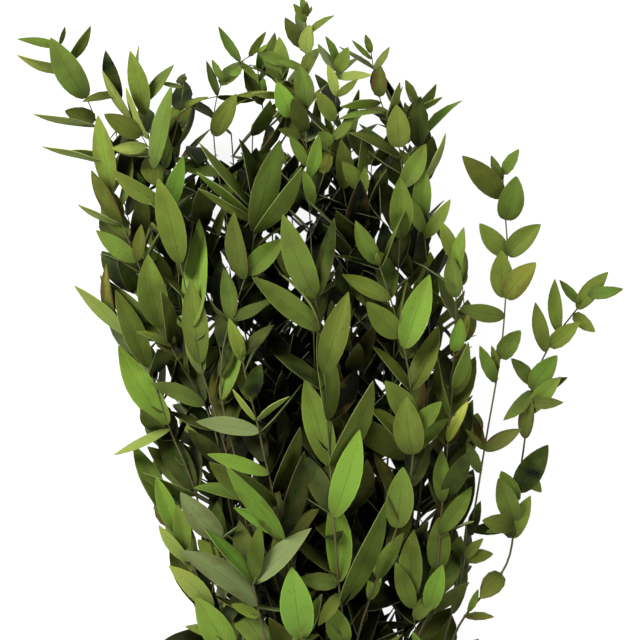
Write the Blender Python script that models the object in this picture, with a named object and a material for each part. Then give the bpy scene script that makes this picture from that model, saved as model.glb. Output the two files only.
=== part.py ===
"""A tied bunch of small-leaved eucalyptus foliage, dried, lying on a table.

The bunch lies along Y: its leafy tips point to +Y, its cut stem ends to -Y, and +Z is up.
Sizes are in millimetres, and become metres as each mesh is finished. Every leafy stem is one
solid: a woody stem from its cut end through the tie to its tip, with its twigs and its leaves.
The stems in front follow routes drawn by hand on a sheet that lies over the bunch, with the
leaves that stand out there. All other stems and leaves follow the rules below.
"""

import math
import random

import bmesh
import bpy
from mathutils import Matrix, Vector
from mathutils.bvhtree import BVHTree
from mathutils.kdtree import KDTree

MM = 0.001

# The sheet over the bunch: units right and down from its corner, and its middle over (0, 0)
SHEET_UNIT = 0.5
SHEET_MIDDLE = 320

# Stems and their tie
CUT_Y = -478.0
CUT_SPREAD = 12.0
CUT_SPLAY_X, CUT_SPLAY_Z, CUT_LEAN = 1.5, 1.15, 5.0
TIP_Y = 150.0
STEM_RADIUS = 1.35
TIP_RADIUS = 0.8
TWIG_RADIUS = 0.7
TUBE_CORNER = 1.1
BUNDLE_RADIUS = 10.2
BUNDLE_SHARE = 0.8
GAP = 0.3
STEM_GAP = 2.0
STEM_LIFT = 1.0
TIE_X, TIE_Y = 36.0, -400.0
TIE_TURNS = 4
TIE_SIDES = 12
TWINE = 2.6
TIE_INNER = (BUNDLE_RADIUS + 0.5) / math.cos(math.pi / TIE_SIDES)
TIE_Z = (TIE_INNER + TWINE) * math.cos(math.pi / TIE_SIDES)
STRAIGHT_BY_TIE = 28.0

# Leaves
LEAF_LENGTH = 39.0
TIP_LEAF_LENGTH = 25.0
LEAF_RATIO = 0.36
LEAF_THICK = 0.7
PRESSED_THICK = 0.9
PRESSED_DIP = 14.0
LOWEST_FREE = 0.3
LEAF_ROOT = 0.6
FREE_ROOT = 0.2
LARGE_LEAF = 38.0
TINY_LEAF = 21.0
SLIVER = 9
LARGE_OUTLINE = ((0.26, 0.80), (0.55, 1.0), (0.82, 0.60))
SMALL_OUTLINE = ((0.34, 0.95), (0.70, 0.78))
TINY_OUTLINE = ((0.45, 1.0),)
DRAWN_RATIO = 0.31
PAIR_SPACING = 66.0
SPLAY = (0.62, 0.95)
TWIST = 0.45
RULED_FROM_Y, RULED_TO_Y = -292.0, -166.0

# Rows of the bunch's cross-section: y, middle x, half width, middle z, half height of the stems
SECTIONS = (
    (-400.0, 36.0, 9.0, 13.1, 9.0),
    (-290.0, 22.0, 32.0, 27.0, 18.0),
    (-160.0, 6.0, 54.0, 42.0, 31.0),
    (0.0, -4.0, 84.0, 47.0, 36.0),
    (90.0, -12.0, 88.0, 43.0, 28.0),
    (150.0, -18.0, 84.0, 38.0, 21.0),
)
MIDDLE_X, HALF_X, MIDDLE_Z, HALF_Z = 1, 2, 3, 4

# Front stems. depth runs from 1, in front, to -1, at the back; a leaf is base, tip and width
FRONT_STEMS = (
    # the long stem to the upper left corner
    dict(
        depth=0.70,
        route=[(262, 650), (240, 560), (222, 460), (212, 414), (172, 348), (158, 318), (140, 262),
               (123, 225), (110, 193), (106, 150), (97, 116), (88, 98), (74, 72), (60, 45)],
        twigs=[],
        leaves=[(87, 99, 52, 39, 28), (52, 55, 18, 41, 9), (58, 78, 18, 56, 9), (72, 62, 92, 27, 10),
                (58, 44, 65, 27, 5), (100, 118, 66, 112, 18), (95, 131, 37, 114, 6),
                (110, 193, 99, 117, 22), (105, 165, 44, 146, 5), (104, 155, 64, 152, 6),
                (120, 225, 93, 172, 16), (125, 222, 110, 190, 14), (120, 226, 80, 205, 6),
                (138, 260, 98, 231, 18), (145, 262, 143, 225, 13), (176, 322, 150, 255, 30),
                (170, 347, 138, 331, 7), (207, 404, 152, 382, 17)],
    ),
    # the second stem from the left, with the tuft of small leaves beside the corner
    dict(
        depth=0.84,
        route=[(285, 650), (258, 560), (232, 470), (216, 408), (205, 378), (200, 362), (183, 265),
               (168, 215), (155, 172), (147, 117), (145, 105)],
        twigs=[[(152, 150), (134, 122), (125, 98), (115, 92)], [(158, 190), (180, 125), (185, 84)]],
        leaves=[(198, 362, 192, 280, 26), (195, 330, 202, 220, 25), (182, 265, 160, 180, 27),
                (147, 117, 132, 53, 20), (149, 107, 175, 67, 12), (145, 105, 140, 47, 5),
                (125, 98, 107, 52, 16), (118, 94, 84, 104, 9), (134, 122, 106, 72, 9),
                (172, 215, 185, 158, 17), (164, 205, 115, 171, 17), (155, 172, 172, 88, 18),
                (148, 140, 128, 90, 8), (150, 150, 113, 150, 13), (182, 110, 210, 100, 6),
                (185, 90, 160, 84, 5)],
    ),
    # the stem left of the middle
    dict(
        depth=0.86,
        route=[(300, 650), (262, 540), (232, 440), (221, 395), (222, 360), (228, 325), (247, 280),
               (258, 235), (254, 205)],
        twigs=[],
        leaves=[(257, 235, 279, 142, 26), (259, 235, 302, 170, 16), (245, 280, 236, 213, 20),
                (247, 277, 285, 240, 22), (228, 322, 225, 269, 17), (232, 322, 270, 302, 12),
                (222, 400, 246, 345, 15), (254, 208, 240, 141, 12),
                (254, 212, 202, 145, 9), (255, 215, 200, 172, 8), (256, 222, 200, 190, 8)],
    ),
    # the slender stem that leans over at the top left
    dict(
        depth=0.42,
        route=[(318, 660), (275, 480), (245, 330), (228, 220), (214, 150), (214, 98), (222, 75),
               (229, 65), (238, 60), (258, 52)],
        twigs=[],
        leaves=[(214, 97, 256, 101, 7), (213, 135, 237, 95, 20), (213, 97, 206, 62, 8),
                (221, 78, 212, 60, 8), (224, 70, 242, 74, 6), (239, 60, 219, 27, 10),
                (240, 60, 259, 82, 7), (258, 52, 293, 66, 12), (250, 54, 266, 32, 8)],
    ),
    # the middle stem, furthest in front
    dict(
        depth=0.98,
        route=[(345, 655), (342, 610), (338, 577), (330, 465), (325, 375), (320, 332), (316, 300)],
        twigs=[],
        leaves=[(316, 300, 283, 216, 28), (318, 302, 336, 220, 16), (320, 331, 253, 278, 22),
                (325, 375, 348, 292, 27), (327, 420, 318, 331, 20), (330, 465, 305, 378, 28),
                (331, 462, 370, 378, 22), (334, 515, 360, 427, 28), (333, 510, 308, 455, 22),
                (338, 577, 331, 493, 26), (338, 580, 298, 575, 18), (341, 590, 318, 622, 14),
                (344, 640, 330, 600, 24), (341, 600, 385, 500, 22)],
    ),
    # the short stem left of the middle, low in front
    dict(
        depth=0.92,
        route=[(308, 655), (290, 570), (284, 540), (275, 490), (264, 455), (259, 418), (247, 385),
               (243, 355)],
        twigs=[],
        leaves=[(260, 433, 198, 420, 17), (268, 470, 209, 452, 14), (274, 500, 211, 457, 26),
                (284, 540, 230, 460, 20), (285, 535, 303, 448, 22), (275, 492, 300, 425, 16),
                (259, 418, 234, 388, 6),
                (260, 418, 289, 394, 6), (250, 398, 262, 363, 18), (243, 355, 275, 325, 12),
                (282, 535, 235, 505, 13), (244, 360, 230, 318, 14)],
    ),
    # the shortest stem, at the foot of the foliage
    dict(
        depth=1.12,
        route=[(272, 660), (268, 640), (257, 602), (254, 580)],
        twigs=[[(272, 658), (290, 650), (302, 634)]],
        leaves=[(254, 582, 205, 525, 11), (256, 582, 312, 525, 20), (254, 580, 262, 520, 16),
                (256, 604, 180, 548, 24), (302, 634, 292, 563, 33), (296, 645, 322, 590, 14),
                (262, 615, 232, 600, 12)],
    ),
    # the stem along the left edge
    dict(
        depth=0.48,
        route=[(225, 655), (210, 560), (196, 485), (180, 450), (167, 424), (153, 368), (140, 345),
               (118, 325)],
        twigs=[],
        leaves=[(116, 323, 108, 264, 12), (153, 368, 118, 290, 22), (125, 332, 76, 287, 14),
                (167, 422, 120, 345, 27), (168, 430, 116, 455, 9), (193, 487, 155, 420, 26),
                (198, 495, 145, 470, 10)],
    ),
    # the low stem at the left edge
    dict(
        depth=0.80,
        route=[(238, 665), (222, 625), (204, 585), (190, 555), (178, 532), (168, 514)],
        twigs=[[(210, 600), (218, 560), (222, 535)]],
        leaves=[(178, 532, 157, 475, 18), (168, 514, 134, 443, 20), (222, 535, 182, 490, 26),
                (185, 545, 178, 503, 18), (190, 560, 161, 522, 13), (219, 562, 199, 537, 16),
                (212, 608, 170, 563, 20), (230, 650, 197, 594, 30), (226, 635, 186, 625, 12)],
    ),
    # the stem right of the middle
    dict(
        depth=0.88,
        route=[(352, 660), (368, 600), (385, 555), (397, 525), (411, 475), (413, 453), (410, 385),
               (404, 348), (390, 300), (378, 265)],
        twigs=[],
        leaves=[(379, 264, 355, 222, 18), (390, 300, 341, 275, 17), (398, 335, 366, 302, 24),
                (402, 348, 428, 275, 28), (411, 420, 384, 380, 24), (413, 453, 405, 395, 30),
                (397, 524, 402, 465, 28), (380, 575, 403, 530, 16), (370, 600, 378, 560, 14),
                (411, 430, 440, 400, 18)],
    ),
    # the stem on the right, behind the drooping one
    dict(
        depth=0.66,
        route=[(405, 660), (428, 620), (437, 568), (441, 500), (447, 440), (452, 370), (455, 300),
               (455, 262)],
        twigs=[[(418, 640), (412, 605), (411, 590)]],
        leaves=[(411, 595, 413, 528, 24), (414, 620, 438, 590, 16), (432, 610, 442, 563, 20),
                (437, 568, 438, 515, 24), (441, 500, 441, 448, 17), (440, 530, 471, 485, 18),
                (447, 440, 467, 400, 11), (449, 410, 437, 355, 9), (454, 350, 459, 318, 16),
                (455, 300, 449, 255, 18), (455, 275, 463, 228, 13), (455, 262, 440, 222, 15),
                (452, 385, 467, 342, 12), (413, 605, 395, 560, 18)],
    ),
    # the tall stem at the top middle
    dict(
        depth=0.40,
        route=[(335, 660), (322, 520), (315, 380), (312, 260), (308, 180), (305, 110), (306, 60),
               (305, 27), (306, 17)],
        twigs=[[(312, 215), (330, 160), (336, 110), (337, 66)], [(306, 150), (290, 118), (281, 80)]],
        leaves=[(306, 18, 301, -3, 9), (305, 24, 293, 4, 9), (305, 50, 285, 18, 16),
                (306, 56, 310, 25, 16), (306, 36, 334, 16, 7), (305, 105, 300, 66, 20),
                (290, 118, 277, 83, 20), (284, 97, 252, 94, 7), (305, 93, 280, 101, 6),
                (309, 180, 318, 135, 13), (308, 170, 289, 136, 12), (300, 140, 278, 130, 10),
                (334, 150, 318, 133, 15), (313, 210, 303, 170, 12), (337, 68, 325, 37, 9),
                (337, 74, 317, 45, 9), (337, 72, 348, 48, 15), (336, 122, 316, 92, 16),
                (336, 95, 327, 65, 11), (337, 76, 372, 76, 10), (336, 100, 358, 80, 9),
                (281, 80, 263, 57, 13), (333, 140, 354, 118, 11)],
    ),
    # the tall stem at the top right, bent over to the left
    dict(
        depth=0.50,
        route=[(372, 660), (385, 500), (392, 380), (398, 260), (402, 190), (402, 148), (388, 118),
               (374, 100), (376, 66), (371, 54)],
        twigs=[[(396, 235), (366, 210), (358, 185)]],
        leaves=[(371, 54, 365, 35, 8), (373, 60, 352, 41, 5), (375, 98, 380, 66, 16),
                (376, 103, 341, 108, 9), (384, 112, 338, 121, 6), (388, 118, 399, 83, 8),
                (402, 148, 396, 106, 24), (402, 160, 349, 133, 10), (360, 190, 362, 138, 10),
                (358, 190, 342, 163, 17), (362, 200, 365, 168, 10), (398, 240, 399, 178, 24),
                (402, 185, 425, 145, 20), (374, 70, 390, 48, 8)],
    ),
    # the shorter stem at the top right
    dict(
        depth=0.34,
        route=[(400, 660), (420, 500), (428, 380), (428, 270), (421, 218), (422, 172), (416, 147),
               (415, 104)],
        twigs=[],
        leaves=[(415, 104, 405, 80, 10), (416, 147, 420, 97, 20), (415, 110, 442, 97, 6),
                (421, 218, 424, 168, 19), (422, 180, 443, 133, 7), (422, 175, 400, 150, 12),
                (425, 240, 450, 200, 14), (424, 232, 408, 196, 14)],
    ),
    # the tall stem on the right
    dict(
        depth=0.62,
        route=[(440, 660), (450, 620), (463, 565), (470, 535), (477, 490), (483, 450), (487, 425),
               (497, 370), (502, 335), (504, 298), (507, 255), (506, 222), (500, 197), (502, 170)],
        twigs=[],
        leaves=[(499, 198, 461, 157, 24), (506, 223, 515, 177, 26), (502, 176, 518, 150, 13),
                (501, 182, 490, 156, 10), (505, 253, 478, 224, 20), (507, 256, 539, 225, 22),
                (503, 298, 500, 251, 24), (504, 297, 534, 263, 24), (499, 358, 519, 330, 20),
                (503, 316, 458, 308, 18), (484, 448, 520, 428, 16), (484, 447, 464, 428, 8),
                (466, 560, 493, 553, 15), (472, 537, 480, 500, 12), (495, 380, 478, 345, 14),
                (480, 470, 466, 440, 12)],
    ),
    # the drooping stem that stands out on the right
    dict(
        depth=0.44,
        route=[(446, 665), (455, 625), (478, 598), (505, 575), (514, 555), (513, 537), (515, 490),
               (525, 445), (527, 395), (541, 358), (555, 330), (578, 311), (590, 290)],
        twigs=[],
        leaves=[(462, 617, 494, 616, 9), (466, 612, 478, 588, 8), (503, 577, 480, 598, 22),
                (513, 538, 530, 495, 18), (512, 538, 500, 515, 12), (514, 520, 485, 532, 10),
                (515, 500, 500, 470, 20), (515, 488, 547, 444, 26), (520, 470, 541, 492, 16),
                (525, 440, 530, 395, 16), (527, 392, 502, 420, 14), (527, 395, 524, 425, 14),
                (527, 412, 560, 376, 18), (529, 388, 556, 355, 22), (531, 382, 510, 358, 15),
                (543, 354, 534, 302, 16), (554, 330, 554, 279, 14), (547, 348, 578, 322, 18),
                (572, 315, 594, 332, 14), (580, 309, 607, 272, 18), (582, 306, 558, 280, 10),
                (588, 296, 622, 289, 13)],
    ),
)

# Rows of the other stems, from the middle to the back: depth, number, tip y, spread across
FILLER_ROWS = ((0.15, 2, 92.0, 0.50), (-0.35, 4, 118.0, 0.90), (-0.86, 5, 96.0, 0.86))

FILLER_WANDER_X, FILLER_WANDER_Z = 5.0, 3.0
FILLER_TIP_SPREAD = 26.0
FILLER_YS = (-165.0, -85.0, -5.0)
FILLER_BEND_SHARE = 0.55
CROWN_BEND, CROWN_MOST = 0.62, 0.9
SINK, SINK_FROM, SINK_OVER = 0.6, 250.0, 250.0

# Where every route passes its own place in the cross-section, between its tie and its upper points
SHARED_YS = (-330.0, -285.0, -225.0)

# How routes are drawn and bent clear of each other
SAMPLE = 3.0
PACKING_ROUNDS = 400
CLEARING_ROUNDS = 60
CLEARING_STEP = 0.35
SMOOTHING_STEP = 0.25
HELD_BY_TIE = 16.0
FREE_FROM_TIE = 110.0
TUBE_TOLERANCE = 0.95
TIE_TOLERANCE = 0.1

# What a leaf tries, in this order, until it is free: rise to its tip, turn round its stem, size
TILTS = (0.12, -0.10, 0.28, -0.26, 0.45, -0.42, 0.62, -0.60, 0.85, -0.85)
TURNS = (0.0, 0.26, -0.26, 0.52, -0.52, 0.8, -0.8)
OPENINGS = (0.0, -0.25, 0.25)
SHRINKS = (1.0, 0.84, 0.7)

UP = Vector((0, 0, 1))
FILLER_SEED, CUT_SEED, DRAWN_SEED, RULED_SEED = 11, 5, 100, 200
LEAF_GREEN = (0.105, 0.165, 0.040)
TWINE_BROWN = (0.300, 0.190, 0.090)


def section(y, column):
    """A measure of the bunch's cross-section at y, read between the rows of SECTIONS."""
    rows = [row for row in zip(SECTIONS, SECTIONS[1:]) if y <= row[1][0]]
    low, high = rows[0] if rows else SECTIONS[-2:]
    share = min(max((y - low[0]) / (high[0] - low[0]), 0.0), 1.0)
    return low[column] + share * (high[column] - low[column])


def in_bunch(y, across, depth):
    """The point at y that lies these shares of the half width and half height off the middle."""
    x = section(y, MIDDLE_X) + across * section(y, HALF_X)
    return Vector((x, y, section(y, MIDDLE_Z) + depth * section(y, HALF_Z)))


def sheet_place(u, v):
    """Where this place of the sheet lies over the bunch."""
    return Vector(((u - SHEET_MIDDLE) * SHEET_UNIT, (SHEET_MIDDLE - v) * SHEET_UNIT))


def on_sheet(u, v, depth):
    """A point of the sheet at its depth in the bunch, lower towards the bunch's sides."""
    x, y = sheet_place(u, v)
    across = (x - section(y, MIDDLE_X)) / section(y, HALF_X)
    crown = math.sqrt(1.0 - min(abs(across) * CROWN_BEND, CROWN_MOST) ** 2)
    z = section(y, MIDDLE_Z) + depth * crown * section(y, HALF_Z)
    return Vector((x, y, z))


def smooth_route(points):
    """Points about SAMPLE apart on a smooth curve through the given ones."""
    points = [2 * points[0] - points[1], *points, 2 * points[-1] - points[-2]]
    route = []
    for before, start, end, after in zip(points, points[1:], points[2:], points[3:]):
        steps = max(2, round((end - start).length / SAMPLE))
        for step in range(steps):
            t = step / steps
            bend = (2 * before - 5 * start + 4 * end - after) * t**2
            turn = (3 * start - before - 3 * end + after) * t**3
            route.append(start + 0.5 * ((end - before) * t + bend + turn))
    return [*route, points[-2]]


def bundle_places(wanted):
    """Where the stems pass the tie: near the places wanted, packed round without touching."""
    places = [place.copy() for place in wanted]
    apart = 2 * TUBE_CORNER * STEM_RADIUS + GAP
    for _ in range(PACKING_ROUNDS):
        for i, a in enumerate(places):
            for b in places[i + 1 :]:
                off = a - b
                if off.length < apart:
                    push = off.normalized() * (apart - off.length) / 2
                    a += push
                    b -= push
        for place in places:
            reach = BUNDLE_RADIUS - STEM_RADIUS
            if place.length > reach:
                place *= reach / place.length
    return places


def depth_at(stem, v):
    """A front stem's depth at this height of the sheet: well below its tip it sinks among the others."""
    below = v - stem["route"][-1][1] - SINK_FROM
    return stem["depth"] - SINK * min(max(below / SINK_OVER, 0.0), 1.0)


def stem_plans():
    """For each stem its route's upper points, its twigs, its drawn leaves and its place in the bunch."""
    plans = []
    for stem in FRONT_STEMS:
        points = [on_sheet(u, v, depth_at(stem, v)) for u, v in stem["route"]]
        foot = points[0]
        across = (foot.x - section(foot.y, MIDDLE_X)) / section(foot.y, HALF_X)
        depth = (foot.z - section(foot.y, MIDDLE_Z)) / section(foot.y, HALF_Z)
        twigs = [[on_sheet(u, v, depth_at(stem, v)) for u, v in twig] for twig in stem["twigs"]]
        plans.append(dict(points=points, across=across, depth=depth, twigs=twigs, leaves=stem["leaves"]))
    draw = random.Random(FILLER_SEED)
    for depth, count, tip_y, spread in FILLER_ROWS:
        for i in range(count):
            across = spread * (2 * (i + 0.5) / count - 1) + draw.uniform(-0.05, 0.05)
            top = tip_y + draw.uniform(-FILLER_TIP_SPREAD, FILLER_TIP_SPREAD)
            ys = (*FILLER_YS, FILLER_BEND_SHARE * top, top)
            points = [in_bunch(y, across, depth) for y in ys]
            for point in points[1:]:
                point.x += draw.uniform(-FILLER_WANDER_X, FILLER_WANDER_X)
                point.z += draw.uniform(-FILLER_WANDER_Z, FILLER_WANDER_Z)
            plans.append(dict(points=points, across=across, depth=depth, twigs=[], leaves=[]))
    return plans


def stem_routes(plans):
    """The smooth routes of the main stems, from the cut ends through the tie to the tips."""
    reach = BUNDLE_RADIUS - STEM_RADIUS
    wanted = [Vector((plan["across"], plan["depth"])) * reach * BUNDLE_SHARE for plan in plans]
    draw = random.Random(CUT_SEED)
    routes = []
    for plan, place in zip(plans, bundle_places(wanted)):
        middle = Vector((TIE_X, 0, TIE_Z))
        off = Vector((place.x, 0, place.y))
        cut = CUT_Y + draw.uniform(-CUT_SPREAD, CUT_SPREAD)
        splay = Vector((CUT_SPLAY_X * place.x + CUT_LEAN, 0, CUT_SPLAY_Z * place.y))
        low = [middle + splay, middle + off, middle + off, middle + off]
        for point, y in zip(low, (cut, TIE_Y - STRAIGHT_BY_TIE, TIE_Y, TIE_Y + STRAIGHT_BY_TIE)):
            point.y = y
        low += [in_bunch(y, plan["across"], plan["depth"]) for y in SHARED_YS]
        routes.append(smooth_route(low + plan["points"]))
    return routes


def radius_at(y):
    """A main stem's radius, thinner from its cut end to its tip."""
    share = min(max((y - CUT_Y) / (TIP_Y - CUT_Y), 0.0), 1.0)
    return STEM_RADIUS + share * (TIP_RADIUS - STEM_RADIUS)


def by_tie(y, there, away):
    """A measure that goes from its value at the tie to another well away from it."""
    return there + min(abs(y - TIE_Y) / FREE_FROM_TIE, 1.0) * (away - there)


def clear_routes(routes, owners):
    """Bends the stems off each other where they would touch, most of it up and down.

    owners gives each route's stem, so a twig isn't bent off the stem that it grows on.
    """
    for _ in range(CLEARING_ROUNDS):
        tree = KDTree(sum(len(route) for route in routes))
        owner = []
        for number, route in zip(owners, routes):
            for point in route:
                tree.insert(point, len(owner))
                owner.append(number)
        tree.balance()
        for number, route in zip(owners, routes):
            for i, point in enumerate(route):
                if abs(point.y - TIE_Y) < HELD_BY_TIE:
                    continue
                apart = 2 * TUBE_CORNER * radius_at(point.y) + by_tie(point.y, GAP, STEM_GAP)
                for near, index, distance in tree.find_range(point, apart):
                    if owner[index] == number:
                        continue
                    push = (point - near).normalized() if distance > 0.01 else UP
                    push = Vector((0.5 * push.x, 0, push.z)).normalized()
                    point += push * (apart - distance) * CLEARING_STEP
            for i in range(1, len(route) - 1):
                if abs(route[i].y - TIE_Y) > HELD_BY_TIE:
                    between = 0.5 * (route[i - 1] + route[i + 1])
                    route[i] += SMOOTHING_STEP * (between - route[i])
        for route in routes:
            for point in route:
                point.z = max(point.z, radius_at(point.y) + STEM_LIFT)


def fewer_points(route):
    """The points of a route that a straight run past them would miss by the tolerance there."""
    first, last = route[0], route[-1]
    run = (last - first).normalized()
    misses = []
    for point in route:
        off = ((point - first) - run * (point - first).dot(run)).length
        misses.append(off / by_tie(point.y, TIE_TOLERANCE, TUBE_TOLERANCE))
    worst = max(range(len(route)), key=misses.__getitem__)
    if misses[worst] < 1.0:
        return [first, last]
    return fewer_points(route[: worst + 1])[:-1] + fewer_points(route[worst:])


def tube(name, points, radii):
    """A closed four-sided tube along the points, as an object in millimetres."""
    curve = bpy.data.curves.new(name, "CURVE")
    curve.dimensions = "3D"
    curve.bevel_depth = 1.0
    curve.bevel_resolution = 0
    curve.use_fill_caps = True
    spline = curve.splines.new("POLY")
    spline.points.add(len(points) - 1)
    for place, point, radius in zip(spline.points, points, radii):
        place.co = (*point, 1.0)
        place.radius = radius
    drawn = bpy.data.objects.new(name, curve)
    bpy.context.scene.collection.objects.link(drawn)
    bpy.context.view_layer.update()
    graph = bpy.context.evaluated_depsgraph_get()
    mesh = bpy.data.meshes.new_from_object(drawn.evaluated_get(graph))
    bpy.data.objects.remove(drawn)
    bm = bmesh.new()
    bm.from_mesh(mesh)
    bmesh.ops.remove_doubles(bm, verts=bm.verts, dist=1e-4)
    bmesh.ops.recalc_face_normals(bm, faces=bm.faces)
    bm.to_mesh(mesh)
    bm.free()
    return bpy.data.objects.new(name, mesh)


def blade(leaf, grow=0.0, start=0.0):
    """A leaf as a closed bmesh: its underside laid out in triangles, then extruded to its thickness.

    grow widens and thickens it all round, and start leaves out that share of it from its root.
    """
    base, tip, side, width = leaf["base"], leaf["tip"], leaf["side"], leaf["width"]
    run = tip - base
    face = run.cross(side).normalized()
    if face.z < 0:
        face = -face
    pressed = leaf["pressed"]
    thick = PRESSED_THICK if pressed else LEAF_THICK
    rise = UP if pressed else face
    arch = leaf["arch"] * run.length
    outline = LARGE_OUTLINE if run.length > LARGE_LEAF else SMALL_OUTLINE
    outline = TINY_OUTLINE if run.length < TINY_LEAF else outline
    root = base + run * start - run.normalized() * (0.0 if start else LEAF_ROOT)
    bm = bmesh.new()
    rows = [[bm.verts.new(root + 4 * arch * start * (1 - start) * face)]]
    for share, wide in outline:
        if share <= start:
            continue
        middle = base + run * share + 4 * arch * share * (1 - share) * face
        half = side * (0.5 * wide * width + grow)
        rows.append([bm.verts.new(middle - half), bm.verts.new(middle + half)])
    rows.append([bm.verts.new(tip + run.normalized() * grow)])
    for vert in bm.verts:
        if pressed:
            vert.co.z = max(vert.co.z, 0.0)
        vert.co -= rise * grow
    for low, high in zip(rows, rows[1:]):
        if len(high) == 2:
            bm.faces.new((low[0], high[0], high[1]))
        if len(low) == 2:
            bm.faces.new((low[0], high[-1], low[1]))
    bm.normal_update()
    bm.faces.ensure_lookup_table()
    if bm.faces[0].normal.dot(rise) > 0:
        bmesh.ops.reverse_faces(bm, faces=bm.faces)
    top = bmesh.ops.extrude_face_region(bm, geom=bm.faces[:])["geom"]
    moved = [part for part in top if isinstance(part, bmesh.types.BMVert)]
    bmesh.ops.translate(bm, verts=moved, vec=rise * (thick + 2 * grow))
    return bm


def box_of(verts):
    """The lowest and highest corner of these vertices."""
    corners = [vert.co for vert in verts]
    return Vector(map(min, zip(*corners))), Vector(map(max, zip(*corners)))


class Crowd:
    """All pieces placed so far, to find what a new leaf would touch.

    A piece is kept under its stem's number, which is negative for the stem's own wood, because a
    leaf is rooted in that and so may touch it.
    """

    def __init__(self):
        self.pieces = []

    def add(self, node, bm):
        """Keeps a piece of this stem, with its box."""
        self.pieces.append((node, *box_of(bm.verts), BVHTree.FromBMesh(bm)))

    def touches(self, bm, wanted):
        """Whether this shape cuts a piece of one of the wanted stems."""
        low, high = box_of(bm.verts)
        tree = None
        for node, other_low, other_high, other in self.pieces:
            if not wanted(node):
                continue
            if any(low[i] > other_high[i] or other_low[i] > high[i] for i in range(3)):
                continue
            tree = tree or BVHTree.FromBMesh(bm)
            if tree.overlap(other):
                return True
        return False


def settled(crowd, node, choices):
    """The first of a leaf's possible places that is free of all other pieces, or None."""
    for leaf in choices:
        bm = blade(leaf)
        lowest = box_of(bm.verts)[0].z
        bm.free()
        if lowest < LOWEST_FREE:
            leaf["pressed"] = True
            leaf["side"] = UP.cross(leaf["tip"] - leaf["base"]).normalized()
            leaf["tip"].z = max(leaf["tip"].z, -PRESSED_DIP)
        guard = blade(leaf, grow=GAP + 0.1)
        held = crowd.touches(guard, lambda other: abs(other) != node)
        guard.free()
        if held:
            continue
        guard = blade(leaf, grow=0.1, start=FREE_ROOT)
        held = crowd.touches(guard, lambda other: other == node)
        guard.free()
        if not held:
            return leaf
    return None


def drawn_leaf_choices(routes, entry, draw):
    """Places for a leaf drawn on the sheet: it keeps its outline from above and tilts up or down."""
    foot, end = sheet_place(*entry[:2]), sheet_place(*entry[2:4])
    wood = [point for route in routes for point in route]
    base = min(wood, key=lambda point: (point.xy - foot).length).copy()
    over = Vector((*end, base.z))
    flat = (over - base).length
    seen_wide = entry[4] * SHEET_UNIT
    lean = draw.uniform(-0.06, 0.06)
    turn = draw.choice((-1, 1))
    arch = draw.uniform(-0.05, 0.07)
    for shrink in SHRINKS:
        for tilt in TILTS:
            tip = base + (over - base) * shrink
            tip.z = base.z + (tilt + lean) * flat
            run = tip - base
            width = max(seen_wide, DRAWN_RATIO * run.length) * shrink
            roll = math.acos(min(seen_wide * shrink / width, 1.0))
            level = UP.cross(run).normalized()
            for way in (turn, -turn):
                side = Matrix.Rotation(way * roll, 3, run.normalized()) @ level
                yield dict(base=base, tip=tip.copy(), side=side, width=width, arch=arch, pressed=False)


def paired_leaf_choices(point, heading, turned, length, draw):
    """Places for one leaf of a pair: out from the stem at its turn round it, then turned a little."""
    splay = draw.uniform(*SPLAY)
    twist = draw.uniform(-TWIST, TWIST)
    ratio = LEAF_RATIO * draw.uniform(0.85, 1.12)
    arch = draw.uniform(-0.06, 0.10)
    level = heading.cross(UP).normalized()
    upright = level.cross(heading).normalized()
    for shrink in SHRINKS:
        for turn in TURNS:
            out = level * math.cos(turned + turn) + upright * math.sin(turned + turn)
            for opening in OPENINGS:
                way = heading * math.cos(splay + opening) + out * math.sin(splay + opening)
                tip = point + way * length * shrink
                across = Matrix.Rotation(twist, 3, way) @ heading.cross(out).normalized()
                width = ratio * length * shrink
                yield dict(base=point.copy(), tip=tip, side=across, width=width, arch=arch, pressed=False)


def pair_places(route, from_y, to_y, draw):
    """Where leaf pairs sit on a route: point, heading and the length of their leaves."""
    walked, due = 0.0, draw.uniform(0.0, PAIR_SPACING)
    for before, point in zip(route, route[1:]):
        if not from_y <= point.y <= to_y:
            continue
        walked += (point - before).length
        if walked < due:
            continue
        due = walked + PAIR_SPACING * draw.uniform(0.85, 1.15)
        share = min(max((point.y - RULED_FROM_Y) / (TIP_Y - RULED_FROM_Y), 0.0), 1.0) ** 2
        length = LEAF_LENGTH + share * (TIP_LEAF_LENGTH - LEAF_LENGTH)
        yield point, (point - before).normalized(), length * draw.uniform(0.9, 1.1)


def settle_all(crowd, node, offered):
    """The leaves that find a free place, each kept in the crowd as it is placed."""
    found = []
    for choices in offered:
        leaf = settled(crowd, node, choices)
        if leaf:
            bm = blade(leaf)
            crowd.add(node, bm)
            bm.free()
            found.append(leaf)
    return found


def drawn_leaves(crowd, node, routes, entries):
    """The leaves of a front stem that are drawn on the sheet, apart from its slivers."""
    draw = random.Random(DRAWN_SEED + node)
    offered = [drawn_leaf_choices(routes, entry, draw) for entry in entries if entry[-1] >= SLIVER]
    return settle_all(crowd, node, offered)


def ruled_leaves(crowd, node, route, whole):
    """Pairs of leaves along a stem, each turned a quarter from the last, and one at a whole tip."""
    draw = random.Random(RULED_SEED + node)
    turned = draw.uniform(0, math.pi)
    offered = []
    to_y = TIP_Y if whole else RULED_TO_Y
    for point, heading, length in pair_places(route, RULED_FROM_Y, to_y, draw):
        for opposite in (0.0, math.pi):
            offered.append(paired_leaf_choices(point, heading, turned + opposite, length, draw))
        turned += math.pi / 2
    if whole:
        heading = (route[-1] - route[-3]).normalized()
        offered.append(paired_leaf_choices(route[-1], heading, turned, TIP_LEAF_LENGTH, draw))
    return settle_all(crowd, node, offered)


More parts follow.
